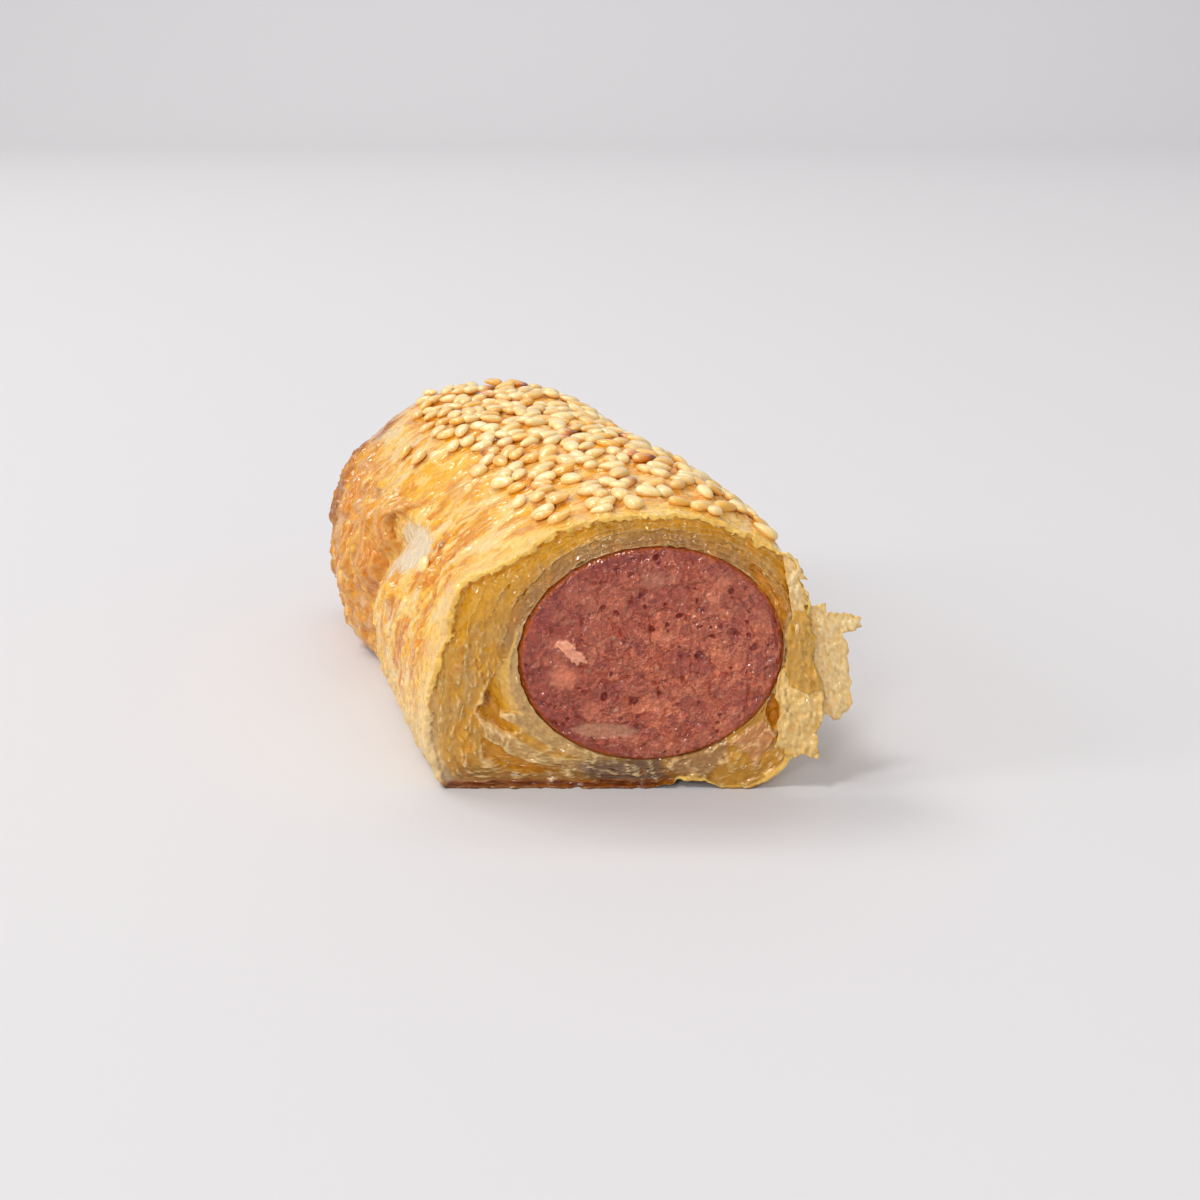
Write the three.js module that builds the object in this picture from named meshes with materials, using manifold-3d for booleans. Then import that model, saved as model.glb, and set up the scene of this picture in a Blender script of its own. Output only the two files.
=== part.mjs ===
// A sausage roll cut in half: a puff pastry jacket, closed over the far end by baking,
// round a smoked sausage, with sesame seeds on top and loose flakes at the cut.
// Millimetres, +Z up. +Y runs from the cut to the baked end and +X is the right-hand
// side seen from the cut. The origin is on the plate, under the middle of the roll.

import * as THREE from 'three';
import Module from 'manifold-3d';

// ---------- driving dimensions ----------

const ROLL_LENGTH = 91; // from the middle of the cut to the baked end
const CUT_ANGLE = THREE.MathUtils.degToRad(17); // the knife went across askew
const SHOULDER = 9; // length of the rounded baked end
const RIM_DIP = 2; // how far the rolled end edge turns in towards the sausage tip
const WINDOW_RADIUS = 9.3; // opening left round the sausage tip
const FIT_GAP = 0.35; // between sausage and pastry
const CROWN_SWELL = 1.7; // the upper right bulges this much behind the cut
const CROWN_BEARING = 0.6; // radians to the right of straight up, where it bulges most
const LUMPS = 0.3; // height of the soft lumps of the crust
const FLAT_BAND = 0.15; // anything this low is part of the flat underside
const SHORTEST_EDGE = 0.01; // joins between pieces leave no shorter edge

// Outlines across the roll, as [x, z], from the left foot round over the top.
const CUT_OUTLINE = [
  [-19.2, 0], [-21.6, 4.5], [-21.8, 10], [-20.9, 16.4], [-17.9, 23], [-13.4, 29], [-7, 34],
  [0.5, 36.8], [9, 37.1], [16.5, 35.6], [22.3, 32.2], [25.2, 26.5], [25.9, 19.5],
  [25.4, 10.5], [23.8, 3.6], [18.8, 0], [0, 0],
];
const END_OUTLINE = [
  [-17.6, 0], [-20.4, 4.5], [-21.9, 10.8], [-21.6, 17.8], [-19.2, 24.6], [-14.9, 30.8], [-8.4, 35.6],
  [0, 38.2], [8.6, 38.2], [16, 36.2], [21.2, 32.2], [24, 26.4], [24.8, 19.2],
  [24.4, 10.5], [22.6, 3.6], [18, 0], [0, 0],
];
const HUB = { x: 4, z: 18 }; // the outlines are measured outwards from here
const CRUST_REACH = 21; // typical distance from the hub to the crust

// The sausage across the roll: middle, half width, half height and lean of its oval.
const SAUSAGE_AT_CUT = { x: 6.3, z: 18.3, wide: 16.4, high: 14.5, lean: 0.19 };
const SAUSAGE_AT_END = { x: 1.2, z: 19.6, wide: 15.6, high: 15, lean: 0 };
const TIP_DOME = 13; // length of the rounded sausage end
const TIP_PROUD = 0.5; // the tip stands this far past the pastry
const MEAT_BULGE = 0.5; // the cut meat swells this far out of the cut

// Furrow where the far turn of pastry overlaps the near one: [height, y], with its depth.
const LEFT_FURROW = { path: [[-2, 50], [10, 47.5], [19, 43], [27, 38.5], [31, 41]], depth: 4.2, side: -1 };
const RIGHT_FURROW = { path: [[-2, 58], [14, 55], [28, 52], [34, 55]], depth: 2.2, side: 1 };
const FURROW_NEAR = 2.6; // width of its steep near side
const FURROW_FAR = 6; // width of its long far side
const FURROW_TOP = 31; // it has faded out at this height
const FAR_LOBE_RISE = 1.1; // the turn beyond the furrow stands this much higher

// The laminated cut face, ring by ring from the sausage (0) out to the crust (1): how
// far it is sunk all round, and how much further at the upper left.
const FACE_RINGS = [
  { out: 0.25, sunk: 0.2, sunkUpperLeft: 0 },
  { out: 0.55, sunk: 0.4, sunkUpperLeft: 0.5 },
  { out: 0.82, sunk: 1, sunkUpperLeft: 1.3 },
  { out: 0.94, sunk: -0.3, sunkUpperLeft: 0 },
];
const RAGGED = 0.25; // unevenness of the cut

const COLUMNS = 54; // points round the pastry
const SAUSAGE_COLUMNS = 40;
const OUTER_STATIONS = [0, 1.5, 6, 12, 18, 24, 30, 35, 38, 40.5, 43, 45.5, 48, 50.5, 53, 56, 60, 66, 73, 82];
const BORE_STATIONS = [0, 10, 22, 36, 50, 64, 78.5, 82, 85, 87.3, 89.1];

// Sesame seeds, sprinkled over the top.
const SEED_COUNT = 178;
const SEED_RANDOM = 7;
const SEED_SIDES = 4;
const SEED_LENGTHS = [3.8, 3]; // largest first
const SEED_WIDTH = 0.54; // of its length
const SEED_THICKNESS = 0.33; // of its length
const SEED_LIFT = 0.2; // its middle stands this far above the crust
const SEED_BAND = [-40, 60]; // degrees either side of straight up, + to the right
const SEED_THINNING = 16; // over this many degrees the band's sides thin out
const SEED_STRETCH = [1.6, 84]; // along the roll
const SEED_SPARSE_FRONT = 0.45; // share of the seeds that the first stretch keeps
const SEED_SPACING = 0.72; // of the mean length of two neighbours

// Shapes on the cut face, as [across, up] in its own plane, and their depths into it.
const GAP_START = 3; // the gaps are cut from this far in front of the face
const GAPS = [
  { name: 'gap beside the inner ribbon', depth: 6.5, outline: [
    [-10.9, 19.4], [-13.2, 16.4], [-15.1, 12.7], [-14.7, 10.4], [-12.8, 9.2], [-13.2, 12.4], [-12.1, 15.8]] },
  { name: 'slit above the lower layer', depth: 3, outline: [
    [-14.4, 6.6], [-13.4, 4.7], [-9.4, 3.1], [-4, 2.3], [-4.6, 3], [-9.8, 4.4], [-13, 5.9]] },
  { name: 'hollow beside the sausage', depth: 4, outline: [
    [21.6, 13.2], [22.4, 9.2], [23.3, 9.6], [23.4, 13]] },
  { name: 'notch under the base', depth: 7, outline: [
    [7, -1], [8.6, 0.8], [11, 1.7], [13.4, 1.8], [15, 0.6], [16.2, -1]] },
];
const CURL_START = 25; // flakes bend back outside this, by their curl
const FLAKES = [
  { name: 'upright flake', from: 1, thick: 0.8, curl: 0.16, outline: [
    [24, 25.4], [27.8, 25.2], [29.7, 23.6], [33.9, 22.3], [33.5, 20.9], [32, 20.6], [32.7, 17.1],
    [33.5, 12], [33.2, 9.7], [31.1, 8.4], [29.6, 9.6], [26, 10], [24, 12]] },
  { name: 'hanging flap', from: -0.5, thick: 0.9, curl: 0, outline: [
    [23, 13.8], [26, 13], [28.9, 10.3], [29, 6.8], [28.2, 4.6], [26, 4.9], [24.4, 5.8], [23.2, 9.5]] },
  { name: 'torn edge', from: 0.2, thick: 0.8, curl: 0.2, outline: [
    [23.8, 31], [25.2, 29.9], [26.6, 28], [25.9, 27.3], [26.8, 25.4], [24.6, 24.6]] },
];

// Directions on the cut face: across it to the right, and into the roll.
const ACROSS = new THREE.Vector3(Math.cos(CUT_ANGLE), -Math.sin(CUT_ANGLE), 0);
const INWARDS = new THREE.Vector3(Math.sin(CUT_ANGLE), Math.cos(CUT_ANGLE), 0);

// ---------- helpers ----------

const mix = (a, b, t) => a + (b - a) * t;
const hump = (x) => Math.exp(-x * x);
const smooth = (a, b, x) => {
  const t = Math.min(Math.max((x - a) / (b - a), 0), 1);
  return t * t * (3 - 2 * t);
};

// Repeatable random numbers from 0 to 1.
function dice(seed) {
  let state = seed;
  return () => {
    state = (state + 0x6d2b79f5) | 0;
    let t = Math.imul(state ^ (state >>> 15), 1 | state);
    t = (t + Math.imul(t ^ (t >>> 7), 61 | t)) ^ t;
    return ((t ^ (t >>> 14)) >>> 0) / 4294967296;
  };
}

// Distance from the hub to an outline, for any bearing (0 is up, + to the right).
function radiusOf(outline) {
  const points = outline.map(([x, z]) => new THREE.Vector3(x, 0, z));
  const curve = new THREE.CatmullRomCurve3(points, true, 'centripetal');
  const samples = curve.getPoints(1200).slice(1).map((p) => {
    const across = p.x - HUB.x;
    const up = Math.max(p.z, 0) - HUB.z;
    return { bearing: Math.atan2(across, up), radius: Math.hypot(across, up) };
  });
  samples.sort((a, b) => a.bearing - b.bearing);
  const last = samples[samples.length - 1];
  const first = samples[0];
  samples.unshift({ bearing: last.bearing - 2 * Math.PI, radius: last.radius });
  samples.push({ bearing: first.bearing + 2 * Math.PI, radius: first.radius });
  return (bearing) => {
    const wrapped = Math.atan2(Math.sin(bearing), Math.cos(bearing));
    let low = 0;
    let high = samples.length - 1;
    while (high - low > 1) {
      const middle = (low + high) >> 1;
      if (samples[middle].bearing <= wrapped) low = middle;
      else high = middle;
    }
    const span = samples[high].bearing - samples[low].bearing;
    const t = span > 0 ? (wrapped - samples[low].bearing) / span : 0;
    return mix(samples[low].radius, samples[high].radius, t);
  };
}

const cutRadius = radiusOf(CUT_OUTLINE);
const endRadius = radiusOf(END_OUTLINE);

// The sections lean with the askew cut, and square up towards the baked end.
const shear = (y) => Math.tan(CUT_ANGLE) * (1 - smooth(0, ROLL_LENGTH - SHOULDER, y));
const place = (x, y, z) => new THREE.Vector3(x, y - shear(y) * x, z < FLAT_BAND ? 0 : z);

// Value along a list of [height, value] points.
function along(path, height) {
  let step = 0;
  while (step < path.length - 2 && height > path[step + 1][0]) step += 1;
  const [from, to] = [path[step], path[step + 1]];
  return mix(from[1], to[1], smooth(from[0], to[0], height));
}

// How far a furrow pulls the crust in, and how far the turn beyond it pushes it out.
function furrow({ path, depth, side }, x, y, z) {
  const flank = smooth(2, 9, side * (x - HUB.x));
  const fade = flank * (1 - smooth(FURROW_TOP - 12, FURROW_TOP, z));
  const offset = y - along(path, z);
  const width = offset < 0 ? FURROW_NEAR : FURROW_FAR;
  const rise = FAR_LOBE_RISE * flank * hump((offset - 14) / 10);
  return fade * depth * hump(offset / width) - rise;
}

// Distance from the hub to the crust.
function crustRadius(bearing, y) {
  const toEnd = smooth(0, 70, y);
  const plain = mix(cutRadius(bearing), endRadius(bearing), toEnd);
  const crown = hump((bearing - CROWN_BEARING) / 0.6);
  const swell = CROWN_SWELL * crown * smooth(0, 14, y) * (1 - smooth(30, 75, y));
  const x = HUB.x + plain * Math.sin(bearing);
  const z = HUB.z + plain * Math.cos(bearing);
  const lumps = LUMPS * Math.sin(3.1 * bearing + 0.16 * y) * Math.sin(0.31 * y + 5 * bearing);
  const above = smooth(0, 6, z);
  const carved = furrow(LEFT_FURROW, x, y, z) + furrow(RIGHT_FURROW, x, y, z);
  return plain + above * (swell + lumps) - carved * smooth(-1, 3, z);
}

function crustPoint(bearing, y) {
  const radius = crustRadius(bearing, y);
  return place(HUB.x + radius * Math.sin(bearing), y, HUB.z + radius * Math.cos(bearing));
}

// The sausage's oval at a place along the roll.
function sausageSection(y) {
  const t = smooth(0, 70, y);
  const section = {};
  for (const key of ['x', 'z', 'wide', 'high', 'lean']) {
    section[key] = mix(SAUSAGE_AT_CUT[key], SAUSAGE_AT_END[key], t);
  }
  const tip = ROLL_LENGTH + TIP_PROUD;
  const intoDome = Math.max((y - (tip - TIP_DOME)) / TIP_DOME, 0);
  section.shrink = Math.sqrt(Math.max(1 - intoDome * intoDome, 0));
  return section;
}

// A point on the skin, or a share of the way out to it.
function sausagePoint(bearing, y, clearance, reach = 1) {
  const { x, z, wide, high, lean, shrink } = sausageSection(y);
  const radius = (wide * high) / Math.hypot(high * Math.sin(bearing + lean), wide * Math.cos(bearing + lean));
  const length = (radius * shrink + clearance) * reach;
  return place(x + length * Math.sin(bearing), y, z + length * Math.cos(bearing));
}

// Joins rings of points into a skin; consecutive rings are stitched by quads.
function stitch(rings, closeLoop) {
  const columns = rings[0].length;
  const positions = rings.flat().flatMap((p) => [p.x, p.y, p.z]);
  const index = [];
  const pairs = closeLoop ? rings.length : rings.length - 1;
  for (let ring = 0; ring < pairs; ring += 1) {
    const here = ring * columns;
    const next = ((ring + 1) % rings.length) * columns;
    for (let i = 0; i < columns; i += 1) {
      const j = (i + 1) % columns;
      index.push(here + i, here + j, next + i);
      index.push(here + j, next + j, next + i);
    }
  }
  return { positions, index };
}

// Closes the first and last ring of a skin with a fan to a middle point.
function cap({ positions, index }, columns, firstMiddle, lastMiddle) {
  const lastRing = positions.length / 3 - columns;
  const first = positions.length / 3;
  positions.push(firstMiddle.x, firstMiddle.y, firstMiddle.z, lastMiddle.x, lastMiddle.y, lastMiddle.z);
  for (let i = 0; i < columns; i += 1) {
    const j = (i + 1) % columns;
    index.push(j, i, first);
    index.push(lastRing + i, lastRing + j, first + 1);
  }
  return { positions, index };
}

function toGeometry({ positions, index }) {
  const geometry = new THREE.BufferGeometry();
  geometry.setAttribute('position', new THREE.Float32BufferAttribute(positions, 3));
  geometry.setIndex(index);
  return geometry;
}

const wasm = await Module();
wasm.setup();

function toSolid({ positions, index }) {
  const mesh = new wasm.Mesh({
    numProp: 3,
    vertProperties: Float32Array.from(positions),
    triVerts: Uint32Array.from(index),
    tolerance: SHORTEST_EDGE,
  });
  return new wasm.Manifold(mesh);
}

// The outer skin of a solid. Where seeds bridge a dip they seal a tiny hollow, whose
// skin touches no other: only the largest skin is kept, which fills such hollows.
function fromSolid(solid) {
  const { vertProperties, triVerts } = solid.getMesh();
  const leader = Int32Array.from({ length: vertProperties.length / 3 }, (_, i) => i);
  const find = (vertex) => {
    let top = vertex;
    while (leader[top] !== top) top = leader[top];
    leader[vertex] = top;
    return top;
  };
  for (let i = 0; i < triVerts.length; i += 3) {
    leader[find(triVerts[i + 1])] = find(triVerts[i]);
    leader[find(triVerts[i + 2])] = find(triVerts[i]);
  }
  const skins = new Map();
  for (let i = 0; i < triVerts.length; i += 3) {
    const skin = find(triVerts[i]);
    if (!skins.has(skin)) skins.set(skin, []);
    skins.get(skin).push(triVerts[i], triVerts[i + 1], triVerts[i + 2]);
  }
  const outer = [...skins.values()].sort((a, b) => b.length - a.length)[0];
  const used = [...new Set(outer)];
  const order = new Map(used.map((vertex, i) => [vertex, i]));
  const positions = used.flatMap((vertex) => Array.from(vertProperties.subarray(3 * vertex, 3 * vertex + 3)));
  return toGeometry({ positions, index: outer.map((vertex) => order.get(vertex)) });
}

const bearings = (count) => Array.from({ length: count }, (_, i) => (2 * Math.PI * i) / count);

// ---------- pastry jacket ----------

// The crust from the cut edge to the end's crown, then in to the window round the tip.
function crustRings(columnBearings) {
  const rings = OUTER_STATIONS.map((y) => columnBearings.map((b) => crustPoint(b, y)));
  const crown = 0.45; // where the rim is highest, from the window out to the crust
  const start = ROLL_LENGTH - SHOULDER;
  const rimPoint = (b, out, y) => {
    const outer = crustRadius(b, start);
    const radius = mix(WINDOW_RADIUS, outer, out);
    const hub = { x: mix(SAUSAGE_AT_END.x, HUB.x, out), z: mix(SAUSAGE_AT_END.z, HUB.z, out) };
    return place(hub.x + radius * Math.sin(b), y, hub.z + radius * Math.cos(b));
  };
  for (const turn of [0.3, 0.6, 0.9, 1.25, Math.PI / 2]) {
    const out = mix(crown, 1, Math.cos(turn));
    rings.push(columnBearings.map((b) => rimPoint(b, out, start + SHOULDER * Math.sin(turn))));
  }
  const halfIn = columnBearings.map((b) => rimPoint(b, crown / 3, ROLL_LENGTH - RIM_DIP / 4));
  return [...rings, halfIn];
}

// The cut face: a shallow channel inside a standing lip, deepest at the upper left.
function faceRings(columnBearings) {
  return FACE_RINGS.map(({ out, sunk, sunkUpperLeft }, ring) => columnBearings.map((b) => {
    const inner = sausagePoint(b, 0, FIT_GAP);
    const outer = crustPoint(b, 0);
    const upperLeft = hump(Math.atan2(Math.sin(b + 0.9), Math.cos(b + 0.9)) / 0.8);
    const ragged = RAGGED * Math.sin(13 * b + 2 * ring) * Math.sin(5 * b + ring);
    return inner.lerp(outer, out).addScaledVector(INWARDS, sunk + sunkUpperLeft * upperLeft + ragged);
  }));
}

function jacket() {
  const columnBearings = bearings(COLUMNS);
  const boreRings = BORE_STATIONS.map((y) => columnBearings.map((b) => sausagePoint(b, y, FIT_GAP)));
  const rings = [...crustRings(columnBearings), ...boreRings.reverse(), ...faceRings(columnBearings)];
  return stitch(rings, true);
}

// ---------- shapes on the cut face ----------

// A flat outline on the cut face, made solid between two depths and curled back outside.
function facePiece(outline, from, thick, curl) {
  const shape = new THREE.Shape(outline.map(([across, up]) => new THREE.Vector2(across, up)));
  const extruded = new THREE.ExtrudeGeometry(shape, { depth: thick, bevelEnabled: false, steps: 1 });
  const source = extruded.getAttribute('position');
  const positions = [];
  const index = [];
  const seen = new Map();
  for (let i = 0; i < source.count; i += 1) {
    const [across, up, deep] = [source.getX(i), source.getY(i), source.getZ(i)];
    const key = [across, up, deep].map((value) => value.toFixed(3)).join(' ');
    if (!seen.has(key)) {
      seen.set(key, positions.length / 3);
      const depth = from + deep + curl * Math.max(across - CURL_START, 0);
      const corner = new THREE.Vector3(0, 0, up).addScaledVector(ACROSS, across);
      positions.push(...corner.addScaledVector(INWARDS, depth).toArray());
    }
    index.push(seen.get(key));
  }
  // The face looks along -Y, which turns the outline inside out.
  for (let i = 0; i < index.length; i += 3) [index[i], index[i + 1]] = [index[i + 1], index[i]];
  return toSolid({ positions, index });
}

// ---------- sesame seeds ----------

// Teardrop along x, lying on z.
function seedRings(length) {
  const profile = [[0.2, 1], [-0.24, 0.82]]; // along, and share of the full width
  const rings = profile.map(([at, share]) => bearings(SEED_SIDES).map((b) => new THREE.Vector3(
    at * length,
    0.5 * SEED_WIDTH * length * share * Math.sin(b),
    0.5 * SEED_THICKNESS * length * share * Math.cos(b),
  )));
  const tips = [new THREE.Vector3(0.46 * length, 0, 0), new THREE.Vector3(-0.54 * length, 0, 0)];
  return { rings, tips };
}

function seed(spot) {
  const { rings, tips } = seedRings(spot.length);
  const middle = crustPoint(spot.bearing, spot.y);
  const ahead = crustPoint(spot.bearing, spot.y + 0.5).sub(middle).normalize();
  const aside = crustPoint(spot.bearing + 0.03, spot.y).sub(middle).normalize();
  const up = new THREE.Vector3().crossVectors(aside, ahead).normalize();
  const axis = aside.multiplyScalar(Math.cos(spot.turn)).addScaledVector(ahead, Math.sin(spot.turn));
  axis.addScaledVector(up, spot.tilt).normalize();
  const width = new THREE.Vector3().crossVectors(up, axis).normalize();
  const basis = new THREE.Matrix4().makeBasis(axis, width, up.crossVectors(axis, width));
  basis.setPosition(middle.addScaledVector(up, SEED_LIFT));
  for (const p of [...rings.flat(), ...tips]) p.applyMatrix4(basis);
  return toSolid(cap(stitch(rings, false), SEED_SIDES, tips[0], tips[1]));
}

// Spots spread over the top, largest first, thinning out at the sides of the band.
function seedSpots() {
  const roll = dice(SEED_RANDOM);
  const spots = [];
  for (let tries = 0; spots.length < SEED_COUNT && tries < 20000; tries += 1) {
    const degrees = mix(SEED_BAND[0], SEED_BAND[1], roll());
    const y = mix(SEED_STRETCH[0], SEED_STRETCH[1], roll());
    const length = mix(SEED_LENGTHS[0], SEED_LENGTHS[1], spots.length / SEED_COUNT);
    const [keep, turn, tilt] = [roll(), Math.PI * 2 * roll(), 0.24 * (roll() - 0.5)];
    const fromSides = Math.min(degrees - SEED_BAND[0], SEED_BAND[1] - degrees);
    const front = mix(SEED_SPARSE_FRONT, 1, smooth(4, 22, y + 0.2 * degrees));
    const wanted = front * smooth(0, SEED_THINNING, fromSides);
    const bearing = THREE.MathUtils.degToRad(degrees);
    const spot = { bearing, y, length, turn, tilt };
    const apart = (other) => Math.hypot(CRUST_REACH * (other.bearing - bearing), other.y - y);
    const clear = spots.every((other) => apart(other) > SEED_SPACING * 0.5 * (other.length + length));
    if (keep < wanted && clear) spots.push(spot);
  }
  return spots;
}

// ---------- the pieces ----------

function makePastry() {
  let solid = toSolid(jacket());
  for (const { depth, outline } of GAPS) {
    solid = solid.subtract(facePiece(outline, -GAP_START, GAP_START + depth, 0));
  }
  for (const { from, thick, curl, outline } of FLAKES) {
    solid = solid.add(facePiece(outline, from, thick, curl));
  }
  for (const spot of seedSpots()) solid = solid.add(seed(spot));
  const mesh = new THREE.Mesh(
    fromSolid(solid),
    new THREE.MeshStandardMaterial({ color: 0xdcae62, roughness: 0.5, metalness: 0 }),
  );
  mesh.name = 'pastry';
  return mesh;
}

function makeSausage() {
  const columnBearings = bearings(SAUSAGE_COLUMNS);
  const rings = [
    columnBearings.map((b) => sausagePoint(b, -0.8 * MEAT_BULGE, 0, 0.6)),
    ...BORE_STATIONS.map((y) => columnBearings.map((b) => sausagePoint(b, y, 0))),
    columnBearings.map((b) => sausagePoint(b, ROLL_LENGTH - 0.3, 0)),
  ];
  const cutMiddle = place(SAUSAGE_AT_CUT.x, -MEAT_BULGE, SAUSAGE_AT_CUT.z);
  const tip = place(SAUSAGE_AT_END.x, ROLL_LENGTH + TIP_PROUD, SAUSAGE_AT_END.z);
  const skin = cap(stitch(rings, false), SAUSAGE_COLUMNS, cutMiddle, tip);
  const mesh = new THREE.Mesh(
    toGeometry(skin),
    new THREE.MeshStandardMaterial({ color: 0xb0625c, roughness: 0.45, metalness: 0 }),
  );
  mesh.name = 'sausage';
  return mesh;
}

const sausageRoll = new THREE.Group();
sausageRoll.add(makePastry(), makeSausage());
const box = new THREE.Box3().setFromObject(sausageRoll);
const middle = box.getCenter(new THREE.Vector3());
sausageRoll.position.set(-middle.x, -middle.y, -box.min.z);

export default sausageRoll;
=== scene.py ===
"""A sausage roll cut in half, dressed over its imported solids.

All shapes are worked out in the roll's own frame, in millimetres: x to the right seen from
the cut, y from the cut to the baked end, z up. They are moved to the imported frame, in
metres, when a piece is made.
"""

import math

import bpy
import numpy as np
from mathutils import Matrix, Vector
from mathutils.geometry import delaunay_2d_cdt


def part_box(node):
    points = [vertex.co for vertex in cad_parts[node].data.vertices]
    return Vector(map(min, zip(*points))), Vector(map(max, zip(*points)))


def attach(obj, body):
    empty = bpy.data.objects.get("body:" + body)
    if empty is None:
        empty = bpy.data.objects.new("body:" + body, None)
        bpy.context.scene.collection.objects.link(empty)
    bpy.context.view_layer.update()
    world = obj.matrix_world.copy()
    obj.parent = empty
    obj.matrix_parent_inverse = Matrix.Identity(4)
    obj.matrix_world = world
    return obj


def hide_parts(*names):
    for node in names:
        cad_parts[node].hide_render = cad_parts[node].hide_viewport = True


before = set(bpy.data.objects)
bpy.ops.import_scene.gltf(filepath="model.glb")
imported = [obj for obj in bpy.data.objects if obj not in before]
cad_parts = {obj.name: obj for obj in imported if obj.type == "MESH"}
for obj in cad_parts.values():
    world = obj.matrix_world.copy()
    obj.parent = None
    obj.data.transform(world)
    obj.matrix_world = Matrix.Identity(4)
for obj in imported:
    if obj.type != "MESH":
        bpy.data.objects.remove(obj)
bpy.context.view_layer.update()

# ---------- driving dimensions, as in the solids ----------

ROLL_LENGTH = 91.0
CUT_ANGLE = math.radians(17)
SHOULDER = 9.0
RIM_DIP = 2.0
WINDOW_RADIUS = 9.3
CROWN_SWELL = 1.7
CROWN_BEARING = 0.6
LUMPS = 0.3
CRUST_REACH = 21.0  # round the crust for each radian of bearing

CUT_OUTLINE = [
    (-19.2, 0), (-21.6, 4.5), (-21.8, 10), (-20.9, 16.4), (-17.9, 23), (-13.4, 29), (-7, 34),
    (0.5, 36.8), (9, 37.1), (16.5, 35.6), (22.3, 32.2), (25.2, 26.5), (25.9, 19.5), (25.4, 10.5),
    (23.8, 3.6), (18.8, 0), (0, 0),
]
END_OUTLINE = [
    (-17.6, 0), (-20.4, 4.5), (-21.9, 10.8), (-21.6, 17.8), (-19.2, 24.6), (-14.9, 30.8), (-8.4, 35.6),
    (0, 38.2), (8.6, 38.2), (16, 36.2), (21.2, 32.2), (24, 26.4), (24.8, 19.2), (24.4, 10.5),
    (22.6, 3.6), (18, 0), (0, 0),
]
HUB_X, HUB_Z = 4.0, 18.0

# The sausage's oval at the cut and at the end: middle x and z, half width and height, lean.
SAUSAGE_AT_CUT = (6.3, 18.3, 16.4, 14.5, 0.19)
SAUSAGE_AT_END = (1.2, 19.6, 15.6, 15.0, 0.0)
TIP_DOME = 13.0
TIP_PROUD = 0.5

# Furrows where the far turn of pastry overlaps the near one: (height, y) points.
LEFT_FURROW = [(-2, 50), (10, 47.5), (19, 43), (27, 38.5), (31, 41)]
RIGHT_FURROW = [(-2, 58), (14, 55), (28, 52), (34, 55)]
LEFT_DEPTH, RIGHT_DEPTH = 4.2, 2.2
FURROW_NEAR, FURROW_FAR, FURROW_TOP = 2.6, 6.0, 31.0
FAR_LOBE_RISE = 1.1

SEED_COUNT = 178
SEED_RANDOM = 7
SEED_LENGTHS = (3.8, 3.0)
SEED_WIDTH, SEED_THICKNESS, SEED_LIFT = 0.54, 0.33, 0.2
SEED_BAND = (-40, 60)
SEED_THINNING = 16
SEED_STRETCH = (1.6, 84)
SEED_SPARSE_FRONT = 0.45
SEED_SPACING = 0.72
MOST_TRIES = 20000

# ---------- colours, linear ----------

FILM = (0.94, 0.63, 0.20)
GOLD = (0.85, 0.39, 0.003)
YELLOW = (0.93, 0.47, 0.015)
AMBER = (0.68, 0.21, 0.0)
PALE_DOUGH = (0.79, 0.63, 0.41)
TOAST = (0.46, 0.14, 0.01)
BROWN = (0.30, 0.09, 0.012)
WRAP = (0.66, 0.31, 0.012)
INNER = (0.42, 0.19, 0.04)
RIBBON = (0.58, 0.36, 0.14)
OCHRE = (0.84, 0.33, 0.002)
LIP = (0.93, 0.57, 0.12)
LOW_LAYER = (0.33, 0.14, 0.02)
BASE_BROWN = (0.17, 0.03, 0.001)
GREY = (0.18, 0.095, 0.055)
LUMP = (0.38, 0.19, 0.07)
PEACH = (0.62, 0.26, 0.09)
FLAKE = (1.0, 0.72, 0.35)
FLAP = (0.90, 0.60, 0.23)
SHEET = (0.66, 0.36, 0.07)
CREAM_SEED = (0.97, 0.72, 0.32)
GOLD_SEED = (0.88, 0.45, 0.05)
BURNT = (0.20, 0.04, 0.006)
MEAT = (0.47, 0.078, 0.027)
MEAT_DARK = (0.25, 0.02, 0.015)
MEAT_MAUVE = (0.41, 0.08, 0.045)
MEAT_LIGHT = (0.82, 0.265, 0.13)
FAT = (0.56, 0.26, 0.14)
PINK = (1.0, 0.44, 0.27)
CASING = (0.40, 0.07, 0.008)
CASING_LIGHT = (0.60, 0.16, 0.012)

# ---------- helpers ----------

WORD, TEN_BITS = 0xFFFFFFFF, 1023  # the largest numbers of 32 and of 10 bits
NOISE_GAIN = 1.6


def mix(a, b, t):
    return a + (b - a) * t


def smooth(a, b, x):
    t = np.clip((x - a) / (b - a), 0, 1)
    return t * t * (3 - 2 * t)


def hump(x):
    return np.exp(-x * x)


def paint(tone, *coats):
    """Colours with coats painted over them, each a colour and how strongly it covers."""
    for colour, share in coats:
        tone = tone + (np.array(colour) - tone) * np.clip(share, 0, 1)[..., None]
    return tone


def all_over(colour, points):
    """One colour at every point."""
    return np.broadcast_to(np.array(colour), points.shape)


def dice(seed):
    """Repeatable random numbers from 0 to 1, the same as in the solids."""
    state = seed

    def imul(a, b):
        return (a * b) & WORD

    def roll():
        nonlocal state
        state = (state + 0x6D2B79F5) & WORD
        t = imul(state ^ (state >> 15), 1 | state)
        t = ((t + imul(t ^ (t >> 7), 61 | t)) & WORD) ^ t
        return (t ^ (t >> 14)) / (WORD + 1)

    return roll


def scramble(i, j, k, seed):
    """A well mixed 32-bit number for each whole-numbered cell."""
    mixed = (i * 374761393 + j * 668265263 + k * 1440662683 + seed * 974634777) & WORD
    mixed = ((mixed ^ (mixed >> 13)) * 1274126177) & WORD
    return mixed ^ (mixed >> 16)


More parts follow.
